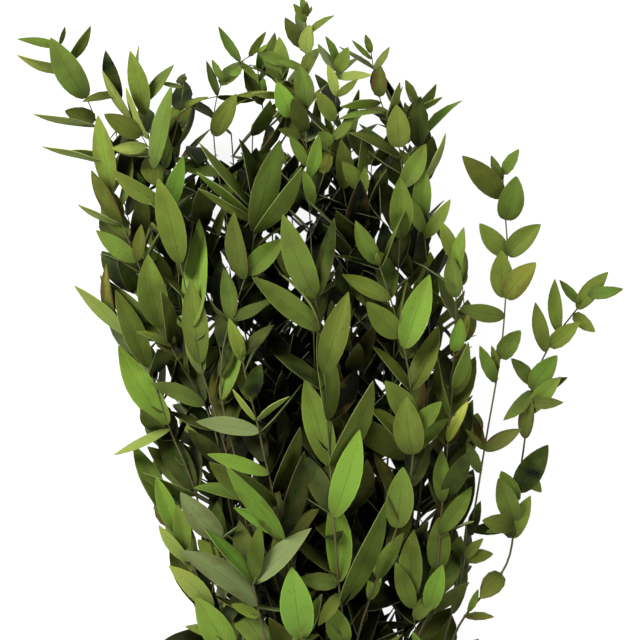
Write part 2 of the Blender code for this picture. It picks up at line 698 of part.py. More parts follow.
def plain_material(name, colour, roughness):
    """A Principled material of one colour."""
    material = bpy.data.materials.new(name)
    material.use_nodes = True
    shader = material.node_tree.nodes["Principled BSDF"]
    shader.inputs["Base Color"].default_value = (*colour, 1.0)
    shader.inputs["Roughness"].default_value = roughness
    material.diffuse_color = (*colour, 1.0)
    return material


def mesh_object(name, bm):
    """An object that holds this bmesh, not yet in the scene."""
    mesh = bpy.data.meshes.new(name)
    bm.to_mesh(mesh)
    bm.free()
    return bpy.data.objects.new(name, mesh)


def fused(stem, pieces):
    """The stem with its twigs and leaves as one solid, by one union on their collection."""
    repeats = bpy.data.collections.new(stem.name + "_repeats")
    bpy.context.scene.collection.children.link(repeats)
    bpy.context.scene.collection.objects.link(stem)
    for piece in pieces:
        repeats.objects.link(piece)
    union = stem.modifiers.new("Union", "BOOLEAN")
    union.operation = "UNION"
    union.operand_type = "COLLECTION"
    union.collection = repeats
    union.solver = "EXACT"
    bpy.context.view_layer.update()
    graph = bpy.context.evaluated_depsgraph_get()
    mesh = bpy.data.meshes.new_from_object(stem.evaluated_get(graph))
    stem.modifiers.clear()
    stem.data = mesh
    for piece in list(repeats.objects):
        bpy.data.objects.remove(piece)
    bpy.data.collections.remove(repeats)
    return stem


def tie():
    """The wound twine round the stems: a ring whose outside has a ridge for each turn."""
    half = 0.5 * TIE_TURNS * TWINE
    valley, crest = TIE_INNER + 0.5 * TWINE, TIE_INNER + TWINE
    profile = [(TIE_INNER, -half), (TIE_INNER, half), (valley, half)]
    for turn in range(TIE_TURNS, 0, -1):
        along = (turn - 0.5) * TWINE - half
        profile += [(crest, along), (valley, along - 0.5 * TWINE)]
    bm = bmesh.new()
    verts = [bm.verts.new((0, along, radius)) for radius, along in profile]
    edges = [bm.edges.new(pair) for pair in zip(verts, verts[1:] + verts[:1])]
    bmesh.ops.spin(
        bm, geom=verts + edges, cent=(0, 0, 0), axis=(0, 1, 0), angle=2 * math.pi, steps=TIE_SIDES,
        use_merge=True,
    )
    bmesh.ops.remove_doubles(bm, verts=bm.verts, dist=1e-4)
    flat_down = Matrix.Rotation(math.pi / TIE_SIDES, 3, "Y")
    bmesh.ops.rotate(bm, verts=bm.verts, cent=(0, 0, 0), matrix=flat_down)
    bmesh.ops.translate(bm, verts=bm.verts, vec=(TIE_X, TIE_Y, TIE_Z))
    bmesh.ops.recalc_face_normals(bm, faces=bm.faces)
    ring = mesh_object("tie", bm)
    bpy.context.scene.collection.objects.link(ring)
    return ring


def grown_routes(plans):
    """Each stem's routes, its own first and then its twigs', all bent clear of other stems."""
    mains = stem_routes(plans)
    grown = []
    for plan, route in zip(plans, mains):
        grown.append([route])
        for twig in plan["twigs"]:
            foot = min(route, key=lambda point: (point.xy - twig[0].xy).length)
            lift = Vector((0, 0, foot.z - twig[0].z))
            grown[-1].append(smooth_route([foot.copy(), *(point + lift for point in twig[1:])]))
    owners = [number for number, routes in enumerate(grown) for _ in routes]
    clear_routes([route for routes in grown for route in routes], owners)
    for routes in grown:
        for twig in routes[1:]:
            twig[0] = min(routes[0], key=lambda point: (point - twig[0]).length).copy()
    return grown


def tubes_of(name, routes):
    """A stem's own tube and those of its twigs."""
    few = fewer_points(routes[0])
    pieces = [tube(name, few, [radius_at(point.y) * TUBE_CORNER for point in few])]
    for twig in routes[1:]:
        few = fewer_points(twig)
        pieces.append(tube(name + "_twig", few, [TWIG_RADIUS * TUBE_CORNER] * len(few)))
    return pieces


def main():
    """Clears the scene and builds the bunch, with its origin under the middle of its box."""
    for old in list(bpy.data.objects):
        bpy.data.objects.remove(old)
    plans = stem_plans()
    grown = grown_routes(plans)
    crowd = Crowd()
    wood = []
    for number, routes in enumerate(grown, start=1):
        wood.append(tubes_of(f"leafy_stem_{number:02d}", routes))
        for piece in wood[-1]:
            bm = bmesh.new()
            bm.from_mesh(piece.data)
            crowd.add(-number if piece is wood[-1][0] else number, bm)
            bm.free()
    leaves = [drawn_leaves(crowd, i + 1, grown[i], plan["leaves"]) for i, plan in enumerate(plans)]
    for i, plan in enumerate(plans):
        leaves[i] += ruled_leaves(crowd, i + 1, grown[i][0], not plan["leaves"])
    green = plain_material("foliage", LEAF_GREEN, 0.6)
    brown = plain_material("twine", TWINE_BROWN, 0.9)
    solids = []
    for (stem, *twigs), own in zip(wood, leaves):
        solids.append(fused(stem, twigs + [mesh_object("leaf", blade(leaf)) for leaf in own]))
        solids[-1].data.materials.append(green)
    solids.append(tie())
    solids[-1].data.materials.append(brown)
    low, high = box_of([vert for solid in solids for vert in solid.data.vertices])
    middle = Vector((0.5 * (low.x + high.x), 0.5 * (low.y + high.y), 0.0))
    for solid in solids:
        solid.data.transform(Matrix.Scale(MM, 4) @ Matrix.Translation(-middle))
        solid.data.shade_flat()


main()
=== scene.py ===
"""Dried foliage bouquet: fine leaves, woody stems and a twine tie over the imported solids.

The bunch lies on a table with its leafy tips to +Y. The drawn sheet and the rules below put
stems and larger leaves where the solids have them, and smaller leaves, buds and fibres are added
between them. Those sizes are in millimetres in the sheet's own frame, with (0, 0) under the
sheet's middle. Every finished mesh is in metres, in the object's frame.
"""

import itertools
import math
import random

import bmesh
import bpy
from bpy.props import FloatProperty, FloatVectorProperty, PointerProperty
from mathutils import Matrix, Vector
from mathutils.bvhtree import BVHTree
from mathutils.kdtree import KDTree


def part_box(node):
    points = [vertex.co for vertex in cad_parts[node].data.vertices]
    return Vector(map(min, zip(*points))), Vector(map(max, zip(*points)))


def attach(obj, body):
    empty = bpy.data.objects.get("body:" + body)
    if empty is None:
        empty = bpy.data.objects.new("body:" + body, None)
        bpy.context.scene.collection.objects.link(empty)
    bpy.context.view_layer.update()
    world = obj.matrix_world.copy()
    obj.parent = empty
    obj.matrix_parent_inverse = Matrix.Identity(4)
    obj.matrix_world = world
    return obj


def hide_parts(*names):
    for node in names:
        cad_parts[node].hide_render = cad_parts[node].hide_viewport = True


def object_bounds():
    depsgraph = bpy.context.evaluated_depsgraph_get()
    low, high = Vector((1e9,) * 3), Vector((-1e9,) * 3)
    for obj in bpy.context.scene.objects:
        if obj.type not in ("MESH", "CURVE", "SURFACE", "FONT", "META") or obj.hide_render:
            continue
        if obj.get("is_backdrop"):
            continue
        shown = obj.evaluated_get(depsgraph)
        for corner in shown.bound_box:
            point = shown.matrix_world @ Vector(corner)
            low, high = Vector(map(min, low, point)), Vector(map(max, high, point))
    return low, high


bl_info = {
    "name": "Dried Foliage Bouquet",
    "version": (1, 0, 0),
    "blender": (4, 5, 0),
    "location": "View3D > Sidebar > Bouquet",
    "description": "Grows a tied bunch of dried eucalyptus foliage over its packed solids",
    "category": "Object",
}

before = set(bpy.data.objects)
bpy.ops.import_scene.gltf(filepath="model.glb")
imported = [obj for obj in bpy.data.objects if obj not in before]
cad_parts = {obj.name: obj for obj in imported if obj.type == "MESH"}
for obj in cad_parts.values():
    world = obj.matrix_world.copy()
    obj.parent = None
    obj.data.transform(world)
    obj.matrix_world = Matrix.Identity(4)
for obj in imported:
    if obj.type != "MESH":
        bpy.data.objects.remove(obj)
CAD_BOX = [Vector(corner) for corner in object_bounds()]
MM = 0.001

# The sheet over the bunch: units right and down from its corner, and its middle over (0, 0)
SHEET_UNIT = 0.5
SHEET_MIDDLE = 320

# Stems and their tie
CUT_Y = -478.0
CUT_SPREAD = 12.0
CUT_SPLAY_X, CUT_SPLAY_Z, CUT_LEAN = 1.5, 1.15, 5.0
TIP_Y = 150.0
STEM_RADIUS = 1.35
TIP_RADIUS = 0.8
TWIG_RADIUS = 0.7
TUBE_CORNER = 1.1
BUNDLE_RADIUS = 10.2
BUNDLE_SHARE = 0.8
GAP = 0.3
STEM_GAP = 2.0
STEM_LIFT = 1.0
TIE_X, TIE_Y = 36.0, -400.0
TIE_TURNS = 4
TIE_SIDES = 12
TWINE = 2.6
TIE_INNER = (BUNDLE_RADIUS + 0.5) / math.cos(math.pi / TIE_SIDES)
TIE_Z = (TIE_INNER + TWINE) * math.cos(math.pi / TIE_SIDES)
STRAIGHT_BY_TIE = 28.0

# Leaves
LEAF_LENGTH = 39.0
TIP_LEAF_LENGTH = 25.0
LEAF_RATIO = 0.36
LEAF_THICK = 0.7
PRESSED_THICK = 0.9
PRESSED_DIP = 14.0
LOWEST_FREE = 0.3
LEAF_ROOT = 0.6
FREE_ROOT = 0.2
LARGE_LEAF = 38.0
TINY_LEAF = 21.0
SLIVER = 9
LARGE_OUTLINE = ((0.26, 0.80), (0.55, 1.0), (0.82, 0.60))
SMALL_OUTLINE = ((0.34, 0.95), (0.70, 0.78))
TINY_OUTLINE = ((0.45, 1.0),)
DRAWN_RATIO = 0.31
PAIR_SPACING = 66.0
SPLAY = (0.62, 0.95)
TWIST = 0.45
DRAWN_LEAN, DRAWN_ARCH = 0.06, (-0.05, 0.07)
RATIO_SPREAD, PAIRED_ARCH = (0.85, 1.12), (-0.06, 0.10)
SPACING_SPREAD, LENGTH_SPREAD = (0.85, 1.15), (0.9, 1.1)
LEAF_MARGIN = 0.1
RULED_FROM_Y, RULED_TO_Y = -292.0, -166.0

# Rows of the bunch's cross-section: y, middle x, half width, middle z, half height of the stems
SECTIONS = (
    (-400.0, 36.0, 9.0, 13.1, 9.0),
    (-290.0, 22.0, 32.0, 27.0, 18.0),
    (-160.0, 6.0, 54.0, 42.0, 31.0),
    (0.0, -4.0, 84.0, 47.0, 36.0),
    (90.0, -12.0, 88.0, 43.0, 28.0),
    (150.0, -18.0, 84.0, 38.0, 21.0),
)
MIDDLE_X, HALF_X, MIDDLE_Z, HALF_Z = 1, 2, 3, 4

# Front stems. depth runs from about 1, in front, to -1, at the back; a leaf is base, tip and width
FRONT_STEMS = (
    # the long stem to the upper left corner
    dict(
        depth=0.70,
        route=[(262, 650), (240, 560), (222, 460), (212, 414), (172, 348), (158, 318), (140, 262),
               (123, 225), (110, 193), (106, 150), (97, 116), (88, 98), (74, 72), (60, 45)],
        leaves=[(87, 99, 52, 39, 28), (52, 55, 18, 41, 9), (58, 78, 18, 56, 9), (72, 62, 92, 27, 10),
                (58, 44, 65, 27, 5), (100, 118, 66, 112, 18), (95, 131, 37, 114, 6),
                (110, 193, 99, 117, 22), (105, 165, 44, 146, 5), (104, 155, 64, 152, 6),
                (120, 225, 93, 172, 16), (125, 222, 110, 190, 14), (120, 226, 80, 205, 6),
                (138, 260, 98, 231, 18), (145, 262, 143, 225, 13), (176, 322, 150, 255, 30),
                (170, 347, 138, 331, 7), (207, 404, 152, 382, 17)],
    ),
    # the second stem from the left, with the tuft of small leaves beside the corner
    dict(
        depth=0.84,
        route=[(285, 650), (258, 560), (232, 470), (216, 408), (205, 378), (200, 362), (183, 265),
               (168, 215), (155, 172), (147, 117), (145, 105)],
        twigs=[[(152, 150), (134, 122), (125, 98), (115, 92)], [(158, 190), (180, 125), (185, 84)]],
        leaves=[(198, 362, 192, 280, 26), (195, 330, 202, 220, 25), (182, 265, 160, 180, 27),
                (147, 117, 132, 53, 20), (149, 107, 175, 67, 12), (145, 105, 140, 47, 5),
                (125, 98, 107, 52, 16), (118, 94, 84, 104, 9), (134, 122, 106, 72, 9),
                (172, 215, 185, 158, 17), (164, 205, 115, 171, 17), (155, 172, 172, 88, 18),
                (148, 140, 128, 90, 8), (150, 150, 113, 150, 13), (182, 110, 210, 100, 6),
                (185, 90, 160, 84, 5)],
    ),
    # the stem left of the middle
    dict(
        depth=0.86,
        route=[(300, 650), (262, 540), (232, 440), (221, 395), (222, 360), (228, 325), (247, 280),
               (258, 235), (254, 205)],
        leaves=[(257, 235, 279, 142, 26), (259, 235, 302, 170, 16), (245, 280, 236, 213, 20),
                (247, 277, 285, 240, 22), (228, 322, 225, 269, 17), (232, 322, 270, 302, 12),
                (222, 400, 246, 345, 15), (254, 208, 240, 141, 12),
                (254, 212, 202, 145, 9), (255, 215, 200, 172, 8), (256, 222, 200, 190, 8)],
    ),
    # the slender stem that leans over at the top left
    dict(
        depth=0.42,
        route=[(318, 660), (275, 480), (245, 330), (228, 220), (214, 150), (214, 98), (222, 75),
               (229, 65), (238, 60), (258, 52)],
        leaves=[(214, 97, 256, 101, 7), (213, 135, 237, 95, 20), (213, 97, 206, 62, 8),
                (221, 78, 212, 60, 8), (224, 70, 242, 74, 6), (239, 60, 219, 27, 10),
                (240, 60, 259, 82, 7), (258, 52, 293, 66, 12), (250, 54, 266, 32, 8)],
    ),
    # the middle stem, furthest in front
    dict(
        depth=0.98,
        route=[(345, 655), (342, 610), (338, 577), (330, 465), (325, 375), (320, 332), (316, 300)],
        leaves=[(316, 300, 283, 216, 28), (318, 302, 336, 220, 16), (320, 331, 253, 278, 22),
                (325, 375, 348, 292, 27), (327, 420, 318, 331, 20), (330, 465, 305, 378, 28),
                (331, 462, 370, 378, 22), (334, 515, 360, 427, 28), (333, 510, 308, 455, 22),
                (338, 577, 331, 493, 26), (338, 580, 298, 575, 18), (341, 590, 318, 622, 14),
                (344, 640, 330, 600, 24), (341, 600, 385, 500, 22)],
    ),
    # the short stem left of the middle, low in front
    dict(
        depth=0.92,
        route=[(308, 655), (290, 570), (284, 540), (275, 490), (264, 455), (259, 418), (247, 385),
               (243, 355)],
        leaves=[(260, 433, 198, 420, 17), (268, 470, 209, 452, 14), (274, 500, 211, 457, 26),
                (284, 540, 230, 460, 20), (285, 535, 303, 448, 22), (275, 492, 300, 425, 16),
                (259, 418, 234, 388, 6),
                (260, 418, 289, 394, 6), (250, 398, 262, 363, 18), (243, 355, 275, 325, 12),
                (282, 535, 235, 505, 13), (244, 360, 230, 318, 14)],
    ),
    # the shortest stem, at the foot of the foliage
    dict(
        depth=1.12,
        route=[(272, 660), (268, 640), (257, 602), (254, 580)],
        twigs=[[(272, 658), (290, 650), (302, 634)]],
        leaves=[(254, 582, 205, 525, 11), (256, 582, 312, 525, 20), (254, 580, 262, 520, 16),
                (256, 604, 180, 548, 24), (302, 634, 292, 563, 33), (296, 645, 322, 590, 14),
                (262, 615, 232, 600, 12)],
    ),
    # the stem along the left edge
    dict(
        depth=0.48,
        route=[(225, 655), (210, 560), (196, 485), (180, 450), (167, 424), (153, 368), (140, 345),
               (118, 325)],
        leaves=[(116, 323, 108, 264, 12), (153, 368, 118, 290, 22), (125, 332, 76, 287, 14),
                (167, 422, 120, 345, 27), (168, 430, 116, 455, 9), (193, 487, 155, 420, 26),
                (198, 495, 145, 470, 10)],
    ),
    # the low stem at the left edge
    dict(
        depth=0.80,
        route=[(238, 665), (222, 625), (204, 585), (190, 555), (178, 532), (168, 514)],
        twigs=[[(210, 600), (218, 560), (222, 535)]],
        leaves=[(178, 532, 157, 475, 18), (168, 514, 134, 443, 20), (222, 535, 182, 490, 26),
                (185, 545, 178, 503, 18), (190, 560, 161, 522, 13), (219, 562, 199, 537, 16),
                (212, 608, 170, 563, 20), (230, 650, 197, 594, 30), (226, 635, 186, 625, 12)],
    ),
    # the stem right of the middle
    dict(
        depth=0.88,
        route=[(352, 660), (368, 600), (385, 555), (397, 525), (411, 475), (413, 453), (410, 385),
               (404, 348), (390, 300), (378, 265)],
        leaves=[(379, 264, 355, 222, 18), (390, 300, 341, 275, 17), (398, 335, 366, 302, 24),
                (402, 348, 428, 275, 28), (411, 420, 384, 380, 24), (413, 453, 405, 395, 30),
                (397, 524, 402, 465, 28), (380, 575, 403, 530, 16), (370, 600, 378, 560, 14),
                (411, 430, 440, 400, 18)],
    ),
    # the stem on the right, behind the drooping one
    dict(
        depth=0.66,
        route=[(405, 660), (428, 620), (437, 568), (441, 500), (447, 440), (452, 370), (455, 300),
               (455, 262)],
        twigs=[[(418, 640), (412, 605), (411, 590)]],
        leaves=[(411, 595, 413, 528, 24), (414, 620, 438, 590, 16), (432, 610, 442, 563, 20),
                (437, 568, 438, 515, 24), (441, 500, 441, 448, 17), (440, 530, 471, 485, 18),
                (447, 440, 467, 400, 11), (449, 410, 437, 355, 9), (454, 350, 459, 318, 16),
                (455, 300, 449, 255, 18), (455, 275, 463, 228, 13), (455, 262, 440, 222, 15),
                (452, 385, 467, 342, 12), (413, 605, 395, 560, 18)],
    ),
    # the tall stem at the top middle
    dict(
        depth=0.40,
        route=[(335, 660), (322, 520), (315, 380), (312, 260), (308, 180), (305, 110), (306, 60),
               (305, 27), (306, 17)],
        twigs=[[(312, 215), (330, 160), (336, 110), (337, 66)], [(306, 150), (290, 118), (281, 80)]],
        leaves=[(306, 18, 301, -3, 9), (305, 24, 293, 4, 9), (305, 50, 285, 18, 16),
                (306, 56, 310, 25, 16), (306, 36, 334, 16, 7), (305, 105, 300, 66, 20),
                (290, 118, 277, 83, 20), (284, 97, 252, 94, 7), (305, 93, 280, 101, 6),
                (309, 180, 318, 135, 13), (308, 170, 289, 136, 12), (300, 140, 278, 130, 10),
                (334, 150, 318, 133, 15), (313, 210, 303, 170, 12), (337, 68, 325, 37, 9),
                (337, 74, 317, 45, 9), (337, 72, 348, 48, 15), (336, 122, 316, 92, 16),
                (336, 95, 327, 65, 11), (337, 76, 372, 76, 10), (336, 100, 358, 80, 9),
                (281, 80, 263, 57, 13), (333, 140, 354, 118, 11)],
    ),
    # the tall stem at the top right, bent over to the left
    dict(
        depth=0.50,
        route=[(372, 660), (385, 500), (392, 380), (398, 260), (402, 190), (402, 148), (388, 118),
               (374, 100), (376, 66), (371, 54)],
        twigs=[[(396, 235), (366, 210), (358, 185)]],
        leaves=[(371, 54, 365, 35, 8), (373, 60, 352, 41, 5), (375, 98, 380, 66, 16),
                (376, 103, 341, 108, 9), (384, 112, 338, 121, 6), (388, 118, 399, 83, 8),
                (402, 148, 396, 106, 24), (402, 160, 349, 133, 10), (360, 190, 362, 138, 10),
                (358, 190, 342, 163, 17), (362, 200, 365, 168, 10), (398, 240, 399, 178, 24),
                (402, 185, 425, 145, 20), (374, 70, 390, 48, 8)],
    ),
    # the shorter stem at the top right
    dict(
        depth=0.34,
        route=[(400, 660), (420, 500), (428, 380), (428, 270), (421, 218), (422, 172), (416, 147),
               (415, 104)],
        leaves=[(415, 104, 405, 80, 10), (416, 147, 420, 97, 20), (415, 110, 442, 97, 6),
                (421, 218, 424, 168, 19), (422, 180, 443, 133, 7), (422, 175, 400, 150, 12),
                (425, 240, 450, 200, 14), (424, 232, 408, 196, 14)],
    ),
    # the tall stem on the right
    dict(
        depth=0.62,
        route=[(440, 660), (450, 620), (463, 565), (470, 535), (477, 490), (483, 450), (487, 425),
               (497, 370), (502, 335), (504, 298), (507, 255), (506, 222), (500, 197), (502, 170)],
        leaves=[(499, 198, 461, 157, 24), (506, 223, 515, 177, 26), (502, 176, 518, 150, 13),
                (501, 182, 490, 156, 10), (505, 253, 478, 224, 20), (507, 256, 539, 225, 22),
                (503, 298, 500, 251, 24), (504, 297, 534, 263, 24), (499, 358, 519, 330, 20),
                (503, 316, 458, 308, 18), (484, 448, 520, 428, 16), (484, 447, 464, 428, 8),
                (466, 560, 493, 553, 15), (472, 537, 480, 500, 12), (495, 380, 478, 345, 14),
                (480, 470, 466, 440, 12)],
    ),
    # the drooping stem that stands out on the right
    dict(
        depth=0.44,
        route=[(446, 665), (455, 625), (478, 598), (505, 575), (514, 555), (513, 537), (515, 490),
               (525, 445), (527, 395), (541, 358), (555, 330), (578, 311), (590, 290)],
        leaves=[(462, 617, 494, 616, 9), (466, 612, 478, 588, 8), (503, 577, 480, 598, 22),
                (513, 538, 530, 495, 18), (512, 538, 500, 515, 12), (514, 520, 485, 532, 10),
                (515, 500, 500, 470, 20), (515, 488, 547, 444, 26), (520, 470, 541, 492, 16),
                (525, 440, 530, 395, 16), (527, 392, 502, 420, 14), (527, 395, 524, 425, 14),
                (527, 412, 560, 376, 18), (529, 388, 556, 355, 22), (531, 382, 510, 358, 15),
                (543, 354, 534, 302, 16), (554, 330, 554, 279, 14), (547, 348, 578, 322, 18),
                (572, 315, 594, 332, 14), (580, 309, 607, 272, 18), (582, 306, 558, 280, 10),
                (588, 296, 622, 289, 13)],
    ),
)

# Rows of the other stems, from the middle to the back: depth, number, tip y, spread across
FILLER_ROWS = ((0.15, 2, 92.0, 0.50), (-0.35, 4, 118.0, 0.90), (-0.86, 5, 96.0, 0.86))

FILLER_SHIFT = 0.05
FILLER_WANDER_X, FILLER_WANDER_Z = 5.0, 3.0
FILLER_TIP_SPREAD = 26.0
FILLER_YS = (-165.0, -85.0, -5.0)
FILLER_BEND_SHARE = 0.55
CROWN_BEND, CROWN_MOST = 0.62, 0.9
SINK, SINK_FROM, SINK_OVER = 0.6, 250.0, 250.0

# Where every route passes its own place in the cross-section, between its tie and its upper points
SHARED_YS = (-330.0, -285.0, -225.0)

# How routes are drawn and bent clear of each other
SAMPLE = 3.0
PACKING_ROUNDS = 400
CLEARING_ROUNDS = 60
CLEARING_STEP, SIDEWAYS, COINCIDENT = 0.35, 0.5, 0.01
SMOOTHING_STEP = 0.25
HELD_BY_TIE = 16.0
FREE_FROM_TIE = 110.0
TUBE_TOLERANCE = 0.95
TIE_TOLERANCE = 0.1

# What a leaf tries, in this order, until it is free: rise to its tip, turn round its stem, size
TILTS = (0.12, -0.10, 0.28, -0.26, 0.45, -0.42, 0.62, -0.60, 0.85, -0.85)
TURNS = (0.0, 0.26, -0.26, 0.52, -0.52, 0.8, -0.8)
OPENINGS = (0.0, -0.25, 0.25)
SHRINKS = (1.0, 0.84, 0.7)

UP = Vector((0, 0, 1))
FILLER_SEED, CUT_SEED, DRAWN_SEED, RULED_SEED = 11, 5, 100, 200

# The drawn leaves' tones, a letter for each leaf in the order of FRONT_STEMS
STEM_TONES = (
    "mmpmmdpbppnopmommm", "mvmmmmddpbmmppmm", "mmommobdmmm", "dmmmmmomm", "mdmmmmmvdvmmmm",
    "gbmvddppddvm", "bgogvmm", "nmpvpdm", "vmgbpmpvm", "mmmvmmmmmm", "mmbmmmymbmbmmm",
    "mmdpmmvpmvmommmgmmppmmm", "mmnmmmmdmmmmmm", "ddmbpmmm", "dmmmmmmtmonnodmo",
    "nmnmdmmdmnmmmmmmmmmmmm",
)
# What a letter means: lightness, yellow, brown, and how much of its grey underside shows
TONES = {
    "v": (1.00, 0.25, 0.0, 0.0), "b": (0.85, 0.18, 0.0, 0.0), "y": (0.75, 1.00, 0.3, 0.0),
    "t": (0.40, 0.60, 0.5, 0.0),
    "p": (1.00, 0.75, 0.0, 0.4), "m": (0.50, 0.13, 0.0, 0.0), "g": (0.50, 0.10, 0.0, 1.0),
    "o": (0.29, 0.13, 0.1, 0.0), "d": (0.14, 0.05, 0.2, 0.0), "n": (0.22, 0.25, 0.8, 0.0),
    # i is near black, of lightness 0: painted shade for leaves in the bunch's core
    "i": (0.0, 0.0, 0.0, 0.0),
}
# Tones of the other leaves, darker towards the middle of the bunch as painted shade: share of the way
# out, letters
RULED_TONES = ((0.70, "iiiiiiiiid"), (0.90, "ddddddoon"), (9.0, "mmmmoooddgbnt"))
# Leaves whose middle lies above INNER_TO_Y count as at the surface and get no painted shade; those within
# CORE_SHARE are placed even where no free place is found
INNER_TO_Y, CORE_SHARE = 75.0, 0.62

# Leaves that the solids leave out
EXTRA_SEED, SHAPE_SEED, TWINE_SEED = 300, 400, 7
EXTRA_TRIES = 48
EXTRA_SPREAD = (0.75, 1.1)
FRONT_DROP = 0.2
BACK_SPACING = 0.7
BUD_LENGTH, BUD_SPREAD = 9.0, (0.7, 1.3)
CELL = 32.0
# Stems that stand alone at the side, so they get buds and no more leaves
SPARSE = (14, 15, 16)
# How far added leaves may reach on the sheet: v, then the left and the right limit of u
REACH = (
    (0, 296, 312), (30, 290, 318), (60, 232, 372), (90, 150, 412), (130, 98, 436), (170, 96, 440),
    (230, 100, 460), (290, 98, 470), (340, 112, 474), (400, 140, 480), (450, 134, 478),
    (520, 158, 474), (560, 168, 480), (600, 186, 474), (640, 190, 470),
)
# A place between two tufts that stays open: its middle and radius on the sheet
OPEN_PLACE = (222, 108, 46)
# Thin twigs that fill the sides and the core: stem, depth, tones, places on the sheet. Their leaves'
# tones are mostly dark, some near black (i): painted shade in the bunch.
SPARE_TWIGS = (
    (1, 0.25, "dood", ((172, 348), (150, 315), (130, 275), (115, 235), (106, 195), (103, 160))),
    (1, 0.10, "ddo", ((150, 290), (138, 250), (125, 205), (120, 165), (116, 130))),
    (2, 0.30, "doo", ((205, 378), (188, 330), (170, 280), (152, 230), (146, 185))),
    (3, 0.20, "dio", ((222, 360), (212, 300), (206, 250), (203, 205), (200, 165))),
    (8, 0.10, "dod", ((196, 485), (172, 450), (156, 415), (142, 375), (130, 335))),
    (8, 0.20, "ddo", ((198, 492), (180, 470), (165, 430), (160, 390), (150, 350))),
    (9, 0.25, "dom", ((204, 585), (186, 560), (172, 530), (160, 500), (150, 470))),
    (9, 0.05, "dod", ((222, 625), (195, 600), (182, 570), (178, 540))),
    (10, 0.15, "dio", ((404, 348), (388, 300), (376, 250), (370, 200), (372, 160))),
    (11, 0.15, "doo", ((455, 400), (460, 360), (464, 320), (462, 285))),
    (11, 0.25, "dom", ((441, 500), (454, 465), (464, 430), (466, 405))),
    (12, 0.15, "dio", ((312, 300), (298, 250), (290, 205), (286, 165))),
    (5, -0.20, "iid", ((330, 465), (314, 430), (298, 395), (288, 355))),
    (3, -0.30, "iid", ((228, 325), (214, 280), (206, 240), (202, 205))),
    (10, -0.30, "iid", ((368, 640), (374, 600), (382, 560), (386, 520))),
    (10, -0.20, "iid", ((413, 475), (398, 430), (386, 390), (382, 350))),
    (2, -0.10, "idd", ((232, 470), (216, 440), (204, 400), (192, 370))),
    (11, 0.00, "dod", ((428, 620), (444, 590), (454, 550), (458, 505))),
    (11, 0.30, "doo", ((437, 575), (449, 540), (456, 500), (457, 470))),
    (4, 0.42, "o", ((214, 98), (200, 101), (188, 103), (180, 95), (178, 84))),
)
# Leaves drawn on the sheet that the solids leave out: stem, leaf, tone
SPARE_LEAVES = (
    (16, (514, 521, 497, 477, 22), "m"), (16, (514, 524, 481, 519, 20), "o"),
    (16, (513, 528, 468, 531, 13), "d"), (16, (529, 396, 567, 377, 12), "d"),
    (16, (528, 399, 562, 402, 13), "o"), (15, (466, 558, 483, 537, 11), "m"),
    (15, (485, 447, 472, 412, 9), "n"), (15, (497, 372, 490, 345, 8), "o"),
    (15, (452, 615, 463, 548, 13), "o"), (15, (461, 572, 467, 522, 10), "d"),
    (2, (132, 143, 106, 116, 20), "o"), (2, (138, 172, 118, 138, 18), "d"),
    (4, (178, 86, 186, 74, 7), "o"), (12, (306, 70, 276, 62, 9), "m"),
    (12, (306, 88, 270, 76, 9), "o"), (12, (306, 130, 294, 96, 18), "d"),
)

# Fine leaves, in millimetres and in shares of their own length
FINE_LEAF = 0.34
SMALL_TEMPLATE, LARGE_TEMPLATE, DRAWN_TEMPLATE = (2, 5), (4, 6), (6, 11)
DRAWN_FINE = 16.0
OVATE_FROM, OVATE_OVER = 0.34, 0.2
# Exponents of their outline: a slender leaf's, and how much smaller an ovate leaf's is
WIDEST, TIP_FULL, BASE_FULL = (0.88, 0.12), (0.86, 0.14), (0.56, 0.08)
# How they fold, wave and bend, and how much of that a pressed leaf keeps
FOLD = (0.04, 0.30)
WAVE, WAVE_ANGLE, WAVE_OFFSET = 0.10, 6.0, 1.3
SICKLE = 0.045
TIP_BEND = 0.035
PRESSED_KEEPS = 0.3
LOWEST_FINE = 0.02
# How one fine leaf's tone differs from another's
LIGHT_SPREAD = (0.78, 1.22)
YELLOW_SHIFT, GREY_SHIFT = (-0.12, 0.12), (-0.1, 0.12)
BROWNS = (0.0, 0.0, 0.0, 0.35)
GREY_LOST_BELOW = 0.7

# Fine wood. FINE_RADII gives y and the main stem's radius there
ROUND_WOOD = 2
WOOD_STEP = 2
NODE_SWELLING, NODE_LENGTH = 1.35, 1.4
NODE_APART, NODE_ON_STEM = 2.0, 1.0
NODE_TONE = (0.2, 0.0, 0.6, 0.0)
FINE_RADII = ((-478.0, 1.35), (-340.0, 1.30), (-160.0, 0.60), (0.0, 0.40), (150.0, 0.26))
FINE_TWIG = 0.26

# How near two points count as one, and a point counts as at its leaf's end
MERGE, AT_END = 1e-4, 1e-6

# Twine and its stray fibres, which start past one part in FIBRES_PAST of its line
PLIES, PLY_RADIUS, PLY_OFFSET, PLY_PITCH = 3, 0.66, 0.62, 7.5
TWINE_TURNS = TIE_TURNS - 0.5
TWINE_SUNK = 0.46
TWINE_STEP = 0.8
ROUND_PLY = 1
FIBRES, FIBRES_PAST = 90, 8
FIBRE_LOWEST, FIBRE_SPREAD, FIBRE_DROOP = -0.3, 0.9, 0.25
FIBRE_REACH = (1.2, 3.4)
FIBRE_RADII = (0.07, 0.05, 0.02)

# The stage. A lamp is its name, its place from the focus and its size in metres, and its watts
FLOOR_HALF, FLOOR_DROP = 3.0, 0.0004
FLOOR_SHADE, FLOOR_GLOW, ROOM_GLOW = 0.06, 0.9, 0.03
FOCUS_HEIGHT = 45.0
LAMPS = (
    ("key", (-1.10, 0.65, 0.90), 0.8, 110.0), ("top_fill", (0.45, 1.25, 0.85), 0.9, 30.0),
    ("side_fill", (1.20, -0.35, 0.85), 0.9, 26.0), ("low_fill", (-0.35, -1.25, 0.85), 0.9, 28.0),
)
LENS, SENSOR, FARTHEST = 240.0, 36.0, 20.0
SHARP_ANGLE = math.radians(50)
WHITE = (1.0, 1.0, 1.0, 1.0)

